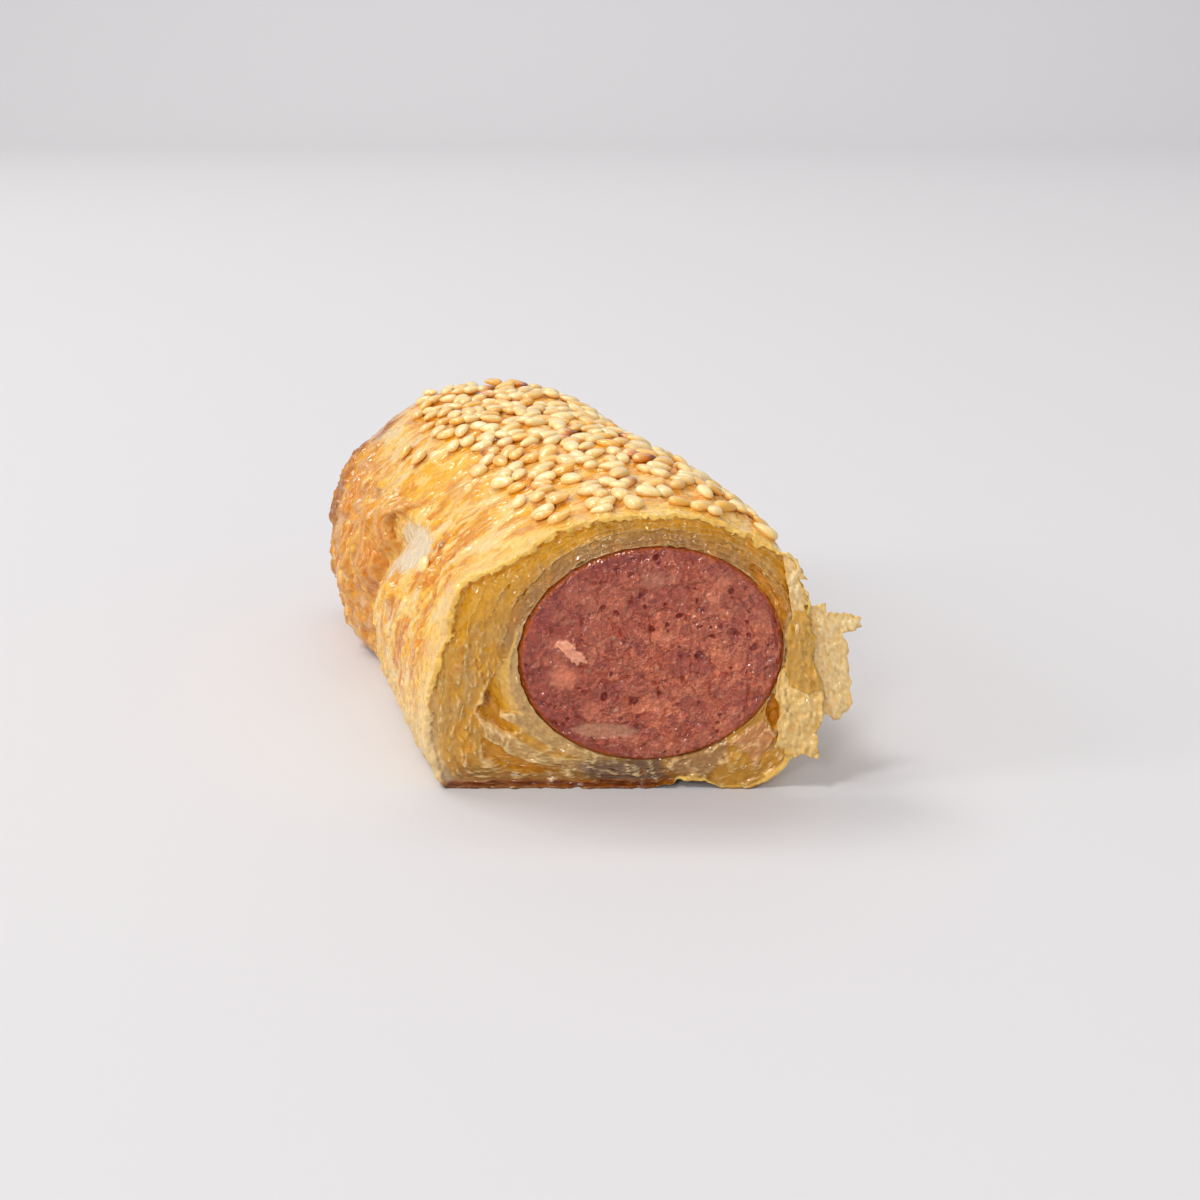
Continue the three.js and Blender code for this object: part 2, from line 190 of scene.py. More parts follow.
def field(mixed, axis):
    """One of three ten-bit numbers, 0 to 1023, held in a well mixed one."""
    return (mixed >> (10 * axis)) & TEN_BITS


def noise(points, size, seed=0):
    """Smooth gradient noise, about -1 to 1, with lumps of the given size (one or three numbers)."""
    cell = points / np.array(size, float)
    low = np.floor(cell)
    part = cell - low
    low = low.astype(np.int64)
    ease = part ** 3 * (part * (part * 6 - 15) + 10)
    total = np.zeros(points.shape[:-1])
    for corner in np.ndindex(2, 2, 2):
        mixed = scramble(*(low[..., axis] + corner[axis] for axis in range(3)), seed)
        away = part - corner
        slope = sum((field(mixed, axis) / (TEN_BITS / 2) - 1) * away[..., axis] for axis in range(3))
        total += np.prod(np.where(np.array(corner) == 1, ease, 1 - ease), axis=-1) * slope
    return NOISE_GAIN * total


def layered_noise(points, size, octaves, seed=0):
    """Noise with finer and weaker noises added to it."""
    total, strength, size = 0, 1.0, np.array(size, float)
    for octave in range(octaves):
        total = total + strength * noise(points, size, seed + 17 * octave)
        strength *= 0.5
        size = size / 2
    return total / 1.5


def puckers(points, size, seed=0):
    """Film drawn up into puffs with sharp creases between them: 0 in a crease, about 1 on a puff."""
    size = np.array(size, float)
    bend = 0.6 * layered_noise(points, 2.5 * size, 2, seed + 3)[..., None] * size
    return np.minimum(2.2 * np.abs(noise(points + bend, size, seed)), 1.3)


def scales(points, size, levels, seed):
    """Torn scales that lie over one another here and there.

    Gives their height, 0 to 1, how near a torn edge each point is, and each scale's own tint.
    """
    size = np.array(size, float)
    level = levels * layered_noise(points, size, 2, seed) + 0.14 * layered_noise(points, 0.8, 2, seed + 9)
    number = np.floor(level)
    part = level - number
    lifted = smooth(-0.2, 0.3, layered_noise(points, 0.7 * size, 2, seed + 13))
    height = lifted * smooth(0, 0.16, part) * (1 - part)
    edge = lifted * hump((part - 0.17) / 0.11)
    own = noise(points + 37.3 * number[..., None], 1.6 * size, seed + 71)
    return height, edge, own


def cells(across, up, size, seed):
    """Random cells of a flat pattern: distances to a cell's middle and border, and its number 0 to 1."""
    u, v = across / size, up / size
    column, row = np.floor(u).astype(np.int64), np.floor(v).astype(np.int64)
    nearest, second = np.full(u.shape, 9.0), np.full(u.shape, 9.0)
    number = np.zeros(u.shape)
    for di, dj in np.ndindex(3, 3):
        i, j = column + di - 1, row + dj - 1
        mixed = scramble(i, j, 0, seed)
        away = np.hypot(i + field(mixed, 0) / TEN_BITS - u, j + field(mixed, 1) / TEN_BITS - v)
        closer = away < nearest
        second = np.where(closer, nearest, np.minimum(second, away))
        number = np.where(closer, field(mixed, 2) / TEN_BITS, number)
        nearest = np.where(closer, away, nearest)
    return nearest * size, (second - nearest) * size, number


def blurred(grid, passes):
    """A grid of values smoothed over its neighbours; its columns close round."""
    for _ in range(passes):
        grid = 0.25 * (np.roll(grid, 1, 1) + np.roll(grid, -1, 1)) + 0.5 * grid
        padded = np.concatenate([grid[:1], grid, grid[-1:]])
        grid = 0.25 * (padded[:-2] + padded[2:]) + 0.5 * padded[1:-1]
    return grid


def stack(x, y, z):
    return np.stack(np.broadcast_arrays(x, y, z), axis=-1)


def flat_points(across, up):
    """Points of a flat pattern, such as one on the cut face."""
    return stack(across, up, np.zeros_like(up))


def circle(count, start=0.0):
    """Evenly spaced angles right round from a start."""
    return np.linspace(start, start + 2 * math.pi, count, endpoint=False)


# ---------- the roll's form ----------


def closed_curve(points, per_segment=80):
    """Centripetal Catmull-Rom curve round a closed outline."""
    points = np.array(points, float)
    t = np.linspace(0, 1, per_segment, endpoint=False)[:, None]
    out = []
    for i in range(len(points)):
        p0, p1, p2, p3 = (points[(i + k) % len(points)] for k in (-1, 0, 1, 2))
        d0, d1, d2 = (np.linalg.norm(b - a) ** 0.5 for a, b in ((p0, p1), (p1, p2), (p2, p3)))
        leave = ((p1 - p0) / d0 - (p2 - p0) / (d0 + d1) + (p2 - p1) / d1) * d1
        arrive = ((p2 - p1) / d1 - (p3 - p1) / (d1 + d2) + (p3 - p2) / d2) * d1
        cubic = 2 * p1 - 2 * p2 + leave + arrive
        square = -3 * p1 + 3 * p2 - 2 * leave - arrive
        out.append(p1 + leave * t + square * t * t + cubic * t ** 3)
    return np.concatenate(out)


def radius_of(outline):
    """Distance from the hub to an outline, for any bearing (0 is up, + to the right)."""
    curve = closed_curve(outline)
    across, up = curve[:, 0] - HUB_X, np.maximum(curve[:, 1], 0) - HUB_Z
    bearing, radius = np.arctan2(across, up), np.hypot(across, up)
    order = np.argsort(bearing)
    return lambda b: np.interp(b, bearing[order], radius[order], period=2 * math.pi)


cut_radius, end_radius = radius_of(CUT_OUTLINE), radius_of(END_OUTLINE)


def shear(y):
    return math.tan(CUT_ANGLE) * (1 - smooth(0, ROLL_LENGTH - SHOULDER, y))


def place(x, y, z):
    return stack(x, y - shear(y) * x, z)


def along(path, height):
    """Value along a list of (height, value) points, eased between them."""
    heights, values = np.array(path, float).T
    step = np.clip(np.searchsorted(heights, height, side="right") - 1, 0, len(path) - 2)
    return mix(values[step], values[step + 1], smooth(heights[step], heights[step + 1], height))


def from_hub(bearing, radius):
    return HUB_X + radius * np.sin(bearing), HUB_Z + radius * np.cos(bearing)


def furrow(path, depth, side, x, y, z):
    """Depth of the furrow on one side, -1 or 1, with the swelling of the far turn behind it."""
    flank = smooth(2, 9, side * (x - HUB_X))
    fade = flank * (1 - smooth(FURROW_TOP - 12, FURROW_TOP, z))
    offset = y - along(path, z)
    width = np.where(offset < 0, FURROW_NEAR, FURROW_FAR)
    rise = FAR_LOBE_RISE * flank * hump((offset - 14) / 10)
    return fade * depth * hump(offset / width) - rise


def crust_radius(bearing, y):
    plain = mix(cut_radius(bearing), end_radius(bearing), smooth(0, 70, y))
    crown = hump((bearing - CROWN_BEARING) / 0.6)
    swell = CROWN_SWELL * crown * smooth(0, 14, y) * (1 - smooth(30, 75, y))
    x, z = from_hub(bearing, plain)
    lumps = LUMPS * np.sin(3.1 * bearing + 0.16 * y) * np.sin(0.31 * y + 5 * bearing)
    carved = furrow(LEFT_FURROW, LEFT_DEPTH, -1, x, y, z) + furrow(RIGHT_FURROW, RIGHT_DEPTH, 1, x, y, z)
    return plain + smooth(0, 6, z) * (swell + lumps) - carved * smooth(-1, 3, z)


def sausage_polar(bearing, y, clearance=0.0, reach=1.0):
    """A point of the sausage's skin, before the sections are sheared."""
    t = smooth(0, 70, y)
    x, z, wide, high, lean = (mix(a, b, t) for a, b in zip(SAUSAGE_AT_CUT, SAUSAGE_AT_END))
    into_dome = np.maximum((y - (ROLL_LENGTH + TIP_PROUD - TIP_DOME)) / TIP_DOME, 0)
    shrink = np.sqrt(np.maximum(1 - into_dome ** 2, 0))
    radius = wide * high / np.hypot(high * np.sin(bearing + lean), wide * np.cos(bearing + lean))
    length = (radius * shrink + clearance) * reach
    return x + length * np.sin(bearing), z + length * np.cos(bearing)


# ---------- from the roll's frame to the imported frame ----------

SOLID_COLUMNS = 40
SOLID_STATIONS = np.array([0, 10, 22, 36, 50, 64, 78.5, 82, 85, 87.3, 89.1])


def frame_shift():
    """How far the solids were moved to stand over their origin, from the sausage's box."""
    x, _ = sausage_polar(circle(SOLID_COLUMNS)[None, :], SOLID_STATIONS[:, None])
    low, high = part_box("sausage")
    return np.array([low.x * 1000 - x.min(), high.y * 1000 - (ROLL_LENGTH + TIP_PROUD), 0])


SHIFT = frame_shift()
# Directions on the cut face: across it to the right, up, and into the roll.
ACROSS = np.array([math.cos(CUT_ANGLE), -math.sin(CUT_ANGLE), 0])
UP = np.array([0.0, 0.0, 1.0])
INWARDS = np.array([math.sin(CUT_ANGLE), math.cos(CUT_ANGLE), 0])


def add_object(name, data, material=None):
    """Puts a light, a camera or a mesh, smoothed and with its material, into the scene."""
    if material:
        data.shade_smooth()
        data.materials.append(material)
    made = bpy.data.objects.new(name, data)
    bpy.context.scene.collection.objects.link(made)
    return made


def make_piece(name, points, faces, material, tones, soft=None, replaced=()):
    """A mesh from lists of points in millimetres, with their colours and softness."""
    points, tones = np.concatenate(points), np.concatenate(tones)
    mesh = bpy.data.meshes.new(name)
    mesh.from_pydata(((points + SHIFT) / 1000).tolist(), [], faces)
    layer = mesh.attributes.new("tint", "FLOAT_COLOR", "POINT")
    rgba = np.hstack([np.clip(tones, 0, 1), np.ones((len(tones), 1))])
    layer.data.foreach_set("color", rgba.astype(np.float32).ravel())
    if soft is not None:
        layer = mesh.attributes.new("soft", "FLOAT", "POINT")
        layer.data.foreach_set("value", np.asarray(soft, np.float32))
    piece = add_object(name, mesh, material)
    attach(piece, "root")
    if replaced:
        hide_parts(*replaced)
    return piece


def grid_faces(rows, columns, loop_rows=False):
    """Quads of a grid whose columns close round; rows close too for a ring of rings."""
    here = np.arange(rows if loop_rows else rows - 1)[:, None] * columns
    there = (here + columns) % (rows * columns)
    i = np.arange(columns)[None, :]
    j = (i + 1) % columns
    quads = np.stack([here + i, here + j, there + j, there + i], axis=-1)
    return quads.reshape(-1, 4)


def capped_faces(rows, columns):
    """Faces of a row of rings, closed by two points after them: before the first ring and past the last."""
    faces = grid_faces(rows, columns).tolist()
    first, last_row = rows * columns, (rows - 1) * columns
    for i in range(columns):
        j = (i + 1) % columns
        faces += [[j, i, first], [last_row + i, last_row + j, first + 1]]
    return faces


# ---------- materials ----------


def new_material(name):
    material = bpy.data.materials.new(name)
    material.use_nodes = True
    tree = material.node_tree
    return material, tree, tree.nodes["Principled BSDF"]


def set_inputs(node, values):
    for key, value in values.items():
        node.inputs[key].default_value = value


def add_node(tree, kind, inputs=None, **settings):
    node = tree.nodes.new(kind)
    set_inputs(node, inputs or {})
    for key, value in settings.items():
        setattr(node, key, value)
    return node


def noise_node(tree, scale, detail, roughness, stretch=(1, 1, 1)):
    """Noise over the object, in lumps of 1/scale metres, stretched along the axes."""
    coordinates = add_node(tree, "ShaderNodeTexCoord")
    mapping = add_node(tree, "ShaderNodeMapping", {"Scale": stretch})
    tree.links.new(coordinates.outputs["Object"], mapping.inputs["Vector"])
    texture = add_node(tree, "ShaderNodeTexNoise", {"Scale": scale, "Detail": detail, "Roughness": roughness})
    tree.links.new(mapping.outputs["Vector"], texture.inputs["Vector"])
    return texture.outputs["Fac"]


def range_node(tree, value, lowest, highest, reach=0.2):
    """Turns noise within a reach of its middle, 0.5, into a range of values."""
    node = add_node(
        tree, "ShaderNodeMapRange",
        {"From Min": 0.5 - reach, "From Max": 0.5 + reach, "To Min": lowest, "To Max": highest},
    )
    tree.links.new(value, node.inputs["Value"])
    return node.outputs["Result"]


def tint_nodes(tree, shader, *variations):
    """Gives the shader the piece's painted colour, made lighter and darker by each variation."""
    colour = add_node(tree, "ShaderNodeAttribute", attribute_name="tint").outputs["Color"]
    for variation in variations:
        scale = add_node(tree, "ShaderNodeVectorMath", operation="SCALE")
        tree.links.new(colour, scale.inputs[0])
        tree.links.new(variation, scale.inputs["Scale"])
        colour = scale.outputs["Vector"]
    tree.links.new(colour, shader.inputs["Base Color"])


def bump_node(tree, shader, height, distance, strength=1.0):
    """Relief of the given depth in metres."""
    bump = add_node(tree, "ShaderNodeBump", {"Strength": strength, "Distance": distance})
    tree.links.new(height, bump.inputs["Height"])
    tree.links.new(bump.outputs["Normal"], shader.inputs["Normal"])


def pastry_material(name, relief):
    """Baked dough, glossy with fat; the value "soft" says how much light passes into it."""
    material, tree, shader = new_material(name)
    fine = noise_node(tree, 2400, 5, 0.65)
    streaks = noise_node(tree, 1100, 4, 0.6, (0.7, 1.7, 0.7))
    blisters = noise_node(tree, 1000, 1, 0.4, (0.8, 1.5, 0.8))
    tint_nodes(tree, shader, range_node(tree, fine, 0.92, 1.06), range_node(tree, streaks, 0.92, 1.06))
    tree.links.new(range_node(tree, streaks, 0.18, 0.42), shader.inputs["Roughness"])
    soft = add_node(tree, "ShaderNodeAttribute", attribute_name="soft")
    tree.links.new(soft.outputs["Fac"], shader.inputs["Subsurface Weight"])
    set_inputs(shader, {
        "Specular IOR Level": 0.12, "Coat Weight": 0.9, "Coat Roughness": 0.09,
        "Subsurface Radius": (1.0, 0.7, 0.35), "Subsurface Scale": 0.0012,
    })
    bump_node(tree, shader, blisters, 0.0005 * relief)
    return material


def seed_material():
    material, tree, shader = new_material("sesame")
    mottle = noise_node(tree, 1500, 4, 0.6)
    tint_nodes(tree, shader, range_node(tree, mottle, 0.88, 1.1))
    set_inputs(shader, {
        "Roughness": 0.3, "Specular IOR Level": 0.45, "Coat Weight": 1.0, "Coat Roughness": 0.14,
        "Subsurface Weight": 0.35, "Subsurface Radius": (1.0, 0.6, 0.3), "Subsurface Scale": 0.0008,
    })
    bump_node(tree, shader, noise_node(tree, 700, 1, 0.4), 0.00004, 0.5)
    return material


def sausage_material():
    material, tree, shader = new_material("cooked sausage")
    grain = noise_node(tree, 1900, 3, 0.6)
    blotch = noise_node(tree, 420, 4, 0.6)
    tint_nodes(tree, shader, range_node(tree, grain, 0.86, 1.12), range_node(tree, blotch, 0.84, 1.14))
    tree.links.new(range_node(tree, blotch, 0.22, 0.42, 0.15), shader.inputs["Roughness"])
    set_inputs(shader, {
        "Specular IOR Level": 0.15, "Coat Weight": 1.0, "Coat Roughness": 0.1,
        "Subsurface Weight": 0.3, "Subsurface Radius": (1.0, 0.3, 0.2), "Subsurface Scale": 0.001,
    })
    bump_node(tree, shader, noise_node(tree, 1150, 1.5, 0.5), 0.0008)
    return material


# ---------- shapes on the cut face, as (across, up) in its own plane ----------


def edge_distance(across, up, outline):
    """Distance to a closed outline on the cut face, less than zero inside it."""
    outline = np.array(outline, float)
    nearest = np.full(across.shape, 1e9)
    inside = np.zeros(across.shape, bool)
    for (ax, az), (bx, bz) in zip(outline, np.roll(outline, -1, axis=0)):
        dx, dz = bx - ax, bz - az
        t = np.clip(((across - ax) * dx + (up - az) * dz) / (dx * dx + dz * dz), 0, 1)
        nearest = np.minimum(nearest, np.hypot(across - ax - t * dx, up - az - t * dz))
        crosses = (az > up) != (bz > up)
        inside ^= crosses & (across < ax + (up - az) * dx / (dz if dz else 1e-9))
    return np.where(inside, -nearest, nearest)


# Each region: depth into the roll, raggedness and softness of its edge, colour, how
# strongly the colour covers, and its outline.
REGIONS = [
    ("golden channel", 0.3, 0.4, 1.0, YELLOW, 0.8, [
        (-1, 35.2), (-4.5, 34.8), (-7.9, 33.4), (-11.8, 31), (-15, 28.8), (-17.6, 27), (-19.2, 24.2),
        (-19.4, 20.4), (-17.9, 19.6), (-17, 22.4), (-15.8, 23.6), (-14.3, 25.8), (-11.6, 27.9),
        (-9.2, 29.8), (-5.5, 32.4), (-1, 34.2)]),
    ("sliver beside the sausage", 0.8, 0.3, 0.7, OCHRE, 0.7, [
        (19.4, 29.9), (20.5, 29.2), (21.6, 27.2), (23, 25.4), (23.7, 22.9), (23.4, 18), (23.2, 16.4),
        (22.6, 21), (20.9, 26.4)]),
    ("pale strip on the right", -0.3, 0.2, 0.3, RIBBON, 0.75, [
        (23.5, 20.6), (23.7, 22.7), (24.1, 23.8), (24.9, 24.7), (25.3, 23.6), (25.3, 21.5), (25, 18.4),
        (24.9, 16.7), (24.4, 15.2), (23.8, 15.4), (23.6, 17.6)]),
    ("pale ribbon round the sausage", -0.1, 0.15, 0.3, RIBBON, 0.8, [
        (-10.7, 21.8), (-11.6, 17.7), (-12, 15), (-11.8, 12.2), (-12, 10.4), (-13.2, 9.8),
        (-12.4, 8.8), (-10.8, 8.4), (-7, 6), (-2, 3.8), (2, 3.6), (-3, 6), (-7.5, 10), (-9.5, 15),
        (-9.6, 20), (-8, 24)]),
    ("slit over the lowest layer", 0.9, 0.4, 0.6, OCHRE, 0.5, [
        (-15, 6.3), (-13.8, 5.8), (-11.6, 4.1), (-9.2, 3.2), (-4.6, 2.6), (-9.2, 2.3), (-13.1, 2.9),
        (-14.9, 4.1)]),
    ("pale band under the gap", -0.35, 0.2, 0.3, RIBBON, 0.7, [
        (-15.6, 9.6), (-14.8, 8.6), (-12.6, 7.4), (-11.1, 6.9), (-8.2, 5.2), (-5.2, 4.2), (0, 3.4),
        (5.2, 2.9), (5.3, 1.6), (0, 1.8), (-4.7, 2.4), (-9.2, 3.5), (-11.6, 4.3), (-13.8, 6),
        (-14.8, 7.2)]),
    ("grey wet zone", 0.1, 0.3, 1.2, GREY, 0.9, [
        (-2.5, 3.0), (3, 3.3), (7.6, 3.6), (8.4, 1.4), (6, 0.5), (0, 0.6)]),
    ("pale lumps", -0.5, 0.5, 0.5, LUMP, 0.8, [
        (10.2, 4.3), (13.1, 5.4), (16.4, 6.2), (16.7, 4.1), (15.3, 3.3), (14, 2), (12.2, 1.8),
        (10.2, 2), (8.9, 2.9)]),
    ("golden lobe", -0.2, 0.3, 0.7, WRAP, 0.7, [
        (17.4, 5.2), (20, 2.9), (23.4, 5.7), (25.9, 4.6), (24, 2.4), (21.5, 1.1), (19.1, 0),
        (16.5, 0.1), (14.7, 1.4), (15.6, 3)]),
    ("pink dough", -0.4, 0.4, 0.4, PEACH, 0.85, [
        (16.9, 6), (19.3, 7.9), (21.3, 9.5), (22.9, 7.4), (22.4, 6.5), (21.7, 5.5), (20.2, 3),
        (19.5, 5.1)]),
    ("hollow beside the sausage", 1.6, 0.15, 0.35, OCHRE, 0.9, [
        (22.2, 12.9), (22.9, 12.4), (23.2, 8.6), (22.6, 8.1), (21.7, 10)]),
]
# The gap beside the inner ribbon slopes down from the ribbon to the wrap's steep edge.
GAP_OUTLINE = [
    (-10.6, 21.6), (-11.3, 19.8), (-12, 17.9), (-13.5, 16.1), (-14.9, 13.2), (-15.1, 11.8),
    (-16.1, 10.6), (-14.9, 9), (-13.9, 8.9), (-12.6, 7.7), (-11.2, 7.3), (-10.5, 8.2), (-11.6, 9),
    (-13.3, 9.6), (-13, 10.4), (-10.2, 10.2), (-11.2, 12.2), (-11.7, 15), (-11.4, 17.7), (-10.6, 20.4),
]
GAP_SHALLOW, GAP_DEEP = (-11, 14), (-14.2, 12.2)
GAP_DEPTH = 2.3
NOTCH = [(6.4, 0), (8.2, 0.5), (11, 1.1), (13.6, 1.1), (15.2, 0.4), (16.2, 0)]
NOTCH_REACH = 7.0
SHEET_THICKNESS, LEAF_THICKNESS = 2.1, 0.75  # on the cut face


def notch_height(across, y):
    """How far the underside is lifted near the cut."""
    places, heights = np.array(NOTCH, float).T
    ragged = 1 + 0.6 * layered_noise(stack(across, y, 0), 1.1, 3, 77)
    return np.interp(across, places, heights, 0, 0) * ragged * (1 - smooth(NOTCH_REACH - 3, NOTCH_REACH, y))


def laminations(across, up, around, off_sausage):
    """Depth and paleness of the torn sheets of dough that follow the roll round, and their slits."""
    flat = flat_points(across, up)
    wobble = 0.4 * layered_noise(flat, 4.5, 2, 3) + 0.24 * layered_noise(flat, 1.0, 3, 5)
    level = off_sausage / SHEET_THICKNESS + wobble
    sheet = np.floor(level)
    part = level - sheet
    strip = flat_points(around / 7, sheet * 3.7)
    # Each sheet stands out along its torn inner edge and dips away behind it.
    stands = smooth(0, 0.1, part) * np.clip(0.5 + 1.3 * noise(strip * 2.3, 1, 12), 0.1, 1)
    edge = hump((part - 0.1) / 0.07) * stands
    slit = smooth(0.3, 0.6, noise(flat_points(around / 2.6, sheet * 2.9), 1, 14)) * hump((part - 0.97) / 0.07)
    fibres = layered_noise(flat_points(around / 1.8, off_sausage / 0.34), 1, 3, 21)
    crumbs = layered_noise(flat, (1.1, 0.8, 1), 3, 23)
    depth = 0.5 * layered_noise(strip, 1, 2, 11) + 0.42 * (1 - stands * (1 - part))
    depth = depth + 0.45 * slit + 0.035 * fibres + 0.12 * crumbs
    pale = 0.7 * edge + 0.45 * noise(strip * 1.7, 1, 13) + 0.12 * fibres - 0.15 * crumbs

    # Thin leaves within the sheets, clearest over the sausage and to its right.
    leaf = off_sausage / LEAF_THICKNESS + 0.5 * layered_noise(flat, 3.0, 2, 25)
    leaf = leaf + 0.2 * layered_noise(flat, 0.8, 2, 27)
    part = leaf - np.floor(leaf)
    clear = smooth(20, 30, up + 0.5 * across) * (0.4 + 0.6 * smooth(-0.3, 0.4, noise(strip * 2.9, 1, 29)))
    depth = depth - 0.26 * clear * smooth(0, 0.15, part) * (1 - part)
    return depth, pale + 0.5 * clear * hump((part - 0.15) / 0.12), slit


def torn_dough(across, up, off_sausage, off_crust, wall, around):
    """Depth and colour of the sheets and crumb on the cut face, before its larger shapes."""
    flat = flat_points(across, up)
    depth, pale, slit = laminations(across, up, around, off_sausage)
    crumb = smooth(-11, -16, across) * smooth(25, 18, up)
    crumbly = np.clip(0.4 + 0.6 * crumb + 0.5 * smooth(9, 5, up), 0, 1)
    crumbs = layered_noise(flat, (1.0, 1.9, 1), 3, 31)
    bubbles = smooth(0.3, 0.7, noise(flat, (0.9, 1.6, 1), 33))
    torn, torn_edge, torn_tint = scales(flat, (1.5, 3.6, 1), 1.9, 35)
    small_torn, small_edge, _ = scales(flat, (0.9, 2.0, 1), 1.6, 37)
    depth = mix(depth, 0.3 * depth + 0.2 * crumbs + 0.25 * bubbles, crumb)
    depth = depth - crumbly * (0.45 * torn + 0.22 * small_torn)
    depth = depth + 0.05 * layered_noise(flat, 0.5, 2, 41)
    # The crust's edge stands proud of a channel that runs under it.
    under = smooth(2.4, 1.1, off_crust) * smooth(0.25, 0.6, off_crust)
    under = under * (0.55 + 0.5 * layered_noise(flat, 3.4, 2, 45)) * smooth(6, 12, up)
    return depth + 0.45 * np.clip(under, 0, 1), paint(
        all_over(WRAP, flat),
        (INNER, smooth(3.2, 0.6, off_sausage) * smooth(10, 22, up)),
        (RIBBON, np.clip(pale, 0, 0.85)),
        (RIBBON, crumbly * np.clip(0.45 * torn_edge + 0.4 * small_edge + 0.7 * torn_tint, 0, 1)),
        (OCHRE, 0.5 * crumbly * smooth(0.1, 0.6, -torn_tint)),
        (OCHRE, 0.8 * slit + 0.4 * crumb * bubbles),
        (LIP, 0.5 * smooth(3.0, 0.6, off_crust) * smooth(4, 12, wall)),
        # painted light: the channel under the crust's edge is painted yellow for the glow through the crust
        (YELLOW, 0.6 * under),
        (LOW_LAYER, smooth(4.5, 1.5, up) * 0.85),
    )


def add_regions(across, up, depth, tone):
    """Adds the regions of the cut face, each with a ragged edge."""
    flat = flat_points(across, up)
    wander = layered_noise(flat, 1.5, 3, 51) + 0.5 * layered_noise(flat, 0.45, 2, 53)
    for _, region_depth, ragged, soft, colour, cover, outline in REGIONS:
        held = smooth(soft, -0.3 * soft, edge_distance(across, up, outline) + ragged * wander)
        depth = depth + region_depth * held
        tone = paint(tone, (colour, held * cover))
    return depth, tone


def add_gap(across, up, depth, tone):
    """Adds the gap beside the inner ribbon, and says how much of it covers each point."""
    ragged = 0.3 * layered_noise(flat_points(across, up), 1.1, 3, 61)
    held = smooth(0.12, -0.14, edge_distance(across, up, GAP_OUTLINE) + ragged)
    start, run = np.array(GAP_SHALLOW), np.array(GAP_DEEP) - np.array(GAP_SHALLOW)
    down = (np.stack([across, up], -1) - start) @ run / (run @ run)
    fall = GAP_DEPTH * np.clip(down, 0, 1.1) ** 1.5 * mix(0.45, 1.0, smooth(-10.5, -14, across))
    # The brown at the gap's deep corner (scorch) is painted shade, and the yellow deepening down its slope is
    # painted light, for light through the dough.
    scorch = hump(np.hypot((across + 15) / 0.6, (up - 11.7) / 0.8))
    tone = paint(
        tone, (LIP, held * 0.5), (YELLOW, held * smooth(0.3, 0.9, down) * 0.7), (BROWN, 0.95 * held * scorch)
    )
    return mix(depth, 0.4 * depth + fall, held), tone, held


def face_relief(across, up, share, wall, around):
    """Depth and colour of the cut face; share is 0 at the sausage and 1 at the crust."""
    depth, tone = torn_dough(across, up, share * wall, (1 - share) * wall, wall, around)
    depth, tone, in_gap = add_gap(across, up, *add_regions(across, up, depth, tone))
    # Painted light and shade: hollows are painted a deeper gold as painted shade, and ridges paler as a
    # painted highlight.
    hollow = depth - blurred(depth, 10)
    return depth, paint(
        tone,
        (OCHRE, 0.4 * smooth(0.06, 0.45, hollow) * (1 - in_gap)),
        (FLAKE, 0.55 * smooth(0.03, 0.25, -hollow)),
        (BROWN, 0.6 * smooth(0.7, 0.85, noise(flat_points(across, up), 0.6, 63))),
    )


# ---------- crust ----------

COLUMNS_SEEN = 545  # round the top and flanks
COLUMNS_UNDER = 80  # across the flat underside
UNDERSIDE_FROM = math.radians(126)
ROW_STEP, FAR_ROW_STEP = 0.185, 0.28
FINE_STRETCH = 50.0  # this far from the cut the rows are finer
FACE_ROWS = 100
END_ROWS, WINDOW_ROWS = 36, 21  # over the shoulder, and on in to the window
# The rings of the inside: y, and clearance from the sausage.
BORE_RINGS = [(89.1, 0.12), (86, 0.12), (80, 0.12), (60, 0.12), (30, 0.12), (10, 0.12), (3, 0.05)]
CRUST_SOFT, FACE_SOFT, FLAKE_SOFT = 0.12, 0.45, 0.15

# Marks on the crust: bearing in degrees, y, half sizes round and along the roll, turn in
# degrees, rise, colour and how strongly it covers. A sunken mark is flatter as well.
MARKS = [
    ("unbrowned patch", -73.0, 33.0, 3.5, 11.0, 5, -0.3, PALE_DOUGH, 1.0),
    ("its lower end", -82, 36, 4.2, 3.2, 0, -0.4, PALE_DOUGH, 0.75),
    ("foot of the valley", -104, 42, 7.0, 2.2, 0, -0.2, PALE_DOUGH, 0.6),
    ("toasted streak", -78.5, 52, 3.4, 1.7, 0, 0.2, AMBER, 0.9),
    ("lower toasted streak", -93, 49.5, 4.6, 1.2, 0, 0.3, AMBER, 0.9),
    ("reddish streak", -86, 53.5, 3.2, 1.0, 0, -0.2, TOAST, 0.5),
    ("far toasted streak", -78, 70, 2.8, 1.8, 0, 0.2, AMBER, 0.8),
    ("small hollow", -67, 54.5, 0.8, 2.4, 0, -0.3, INNER, 0.5),
    ("bright knob", -89, 30.5, 1.4, 2.4, 0, 0.9, GOLD, 0.9),
    ("baked blob", -75, 16.5, 1.5, 1.7, 0, 0.5, AMBER, 0.85),
    ("streak by the blob", -70, 15, 2.2, 0.5, 0, 0.1, AMBER, 0.6),
    ("small scorch", -63.5, 20.8, 0.9, 0.35, 0, 0.1, BROWN, 0.9),
    ("smaller scorch", -66.5, 18.5, 0.6, 0.3, 0, 0.1, BROWN, 0.8),
    ("low toasted streak", -92, 9.5, 3.6, 0.8, 0, 0.15, AMBER, 0.8),
    ("lower still", -103, 13, 3.2, 0.7, 0, 0.15, AMBER, 0.6),
    ("toast under the seeds", -46, 33, 1.6, 3.5, 0, 0.0, AMBER, 0.45),
    ("toast by the lip", -34, 5, 3.0, 1.2, 0, 0.0, AMBER, 0.5),
    ("toast on top", -8, 3.6, 3.2, 0.9, 0, 0.0, AMBER, 0.5),
    ("egg wash in front", 9, 5.5, 3.2, 1.1, 0, 0.1, AMBER, 0.6),
]
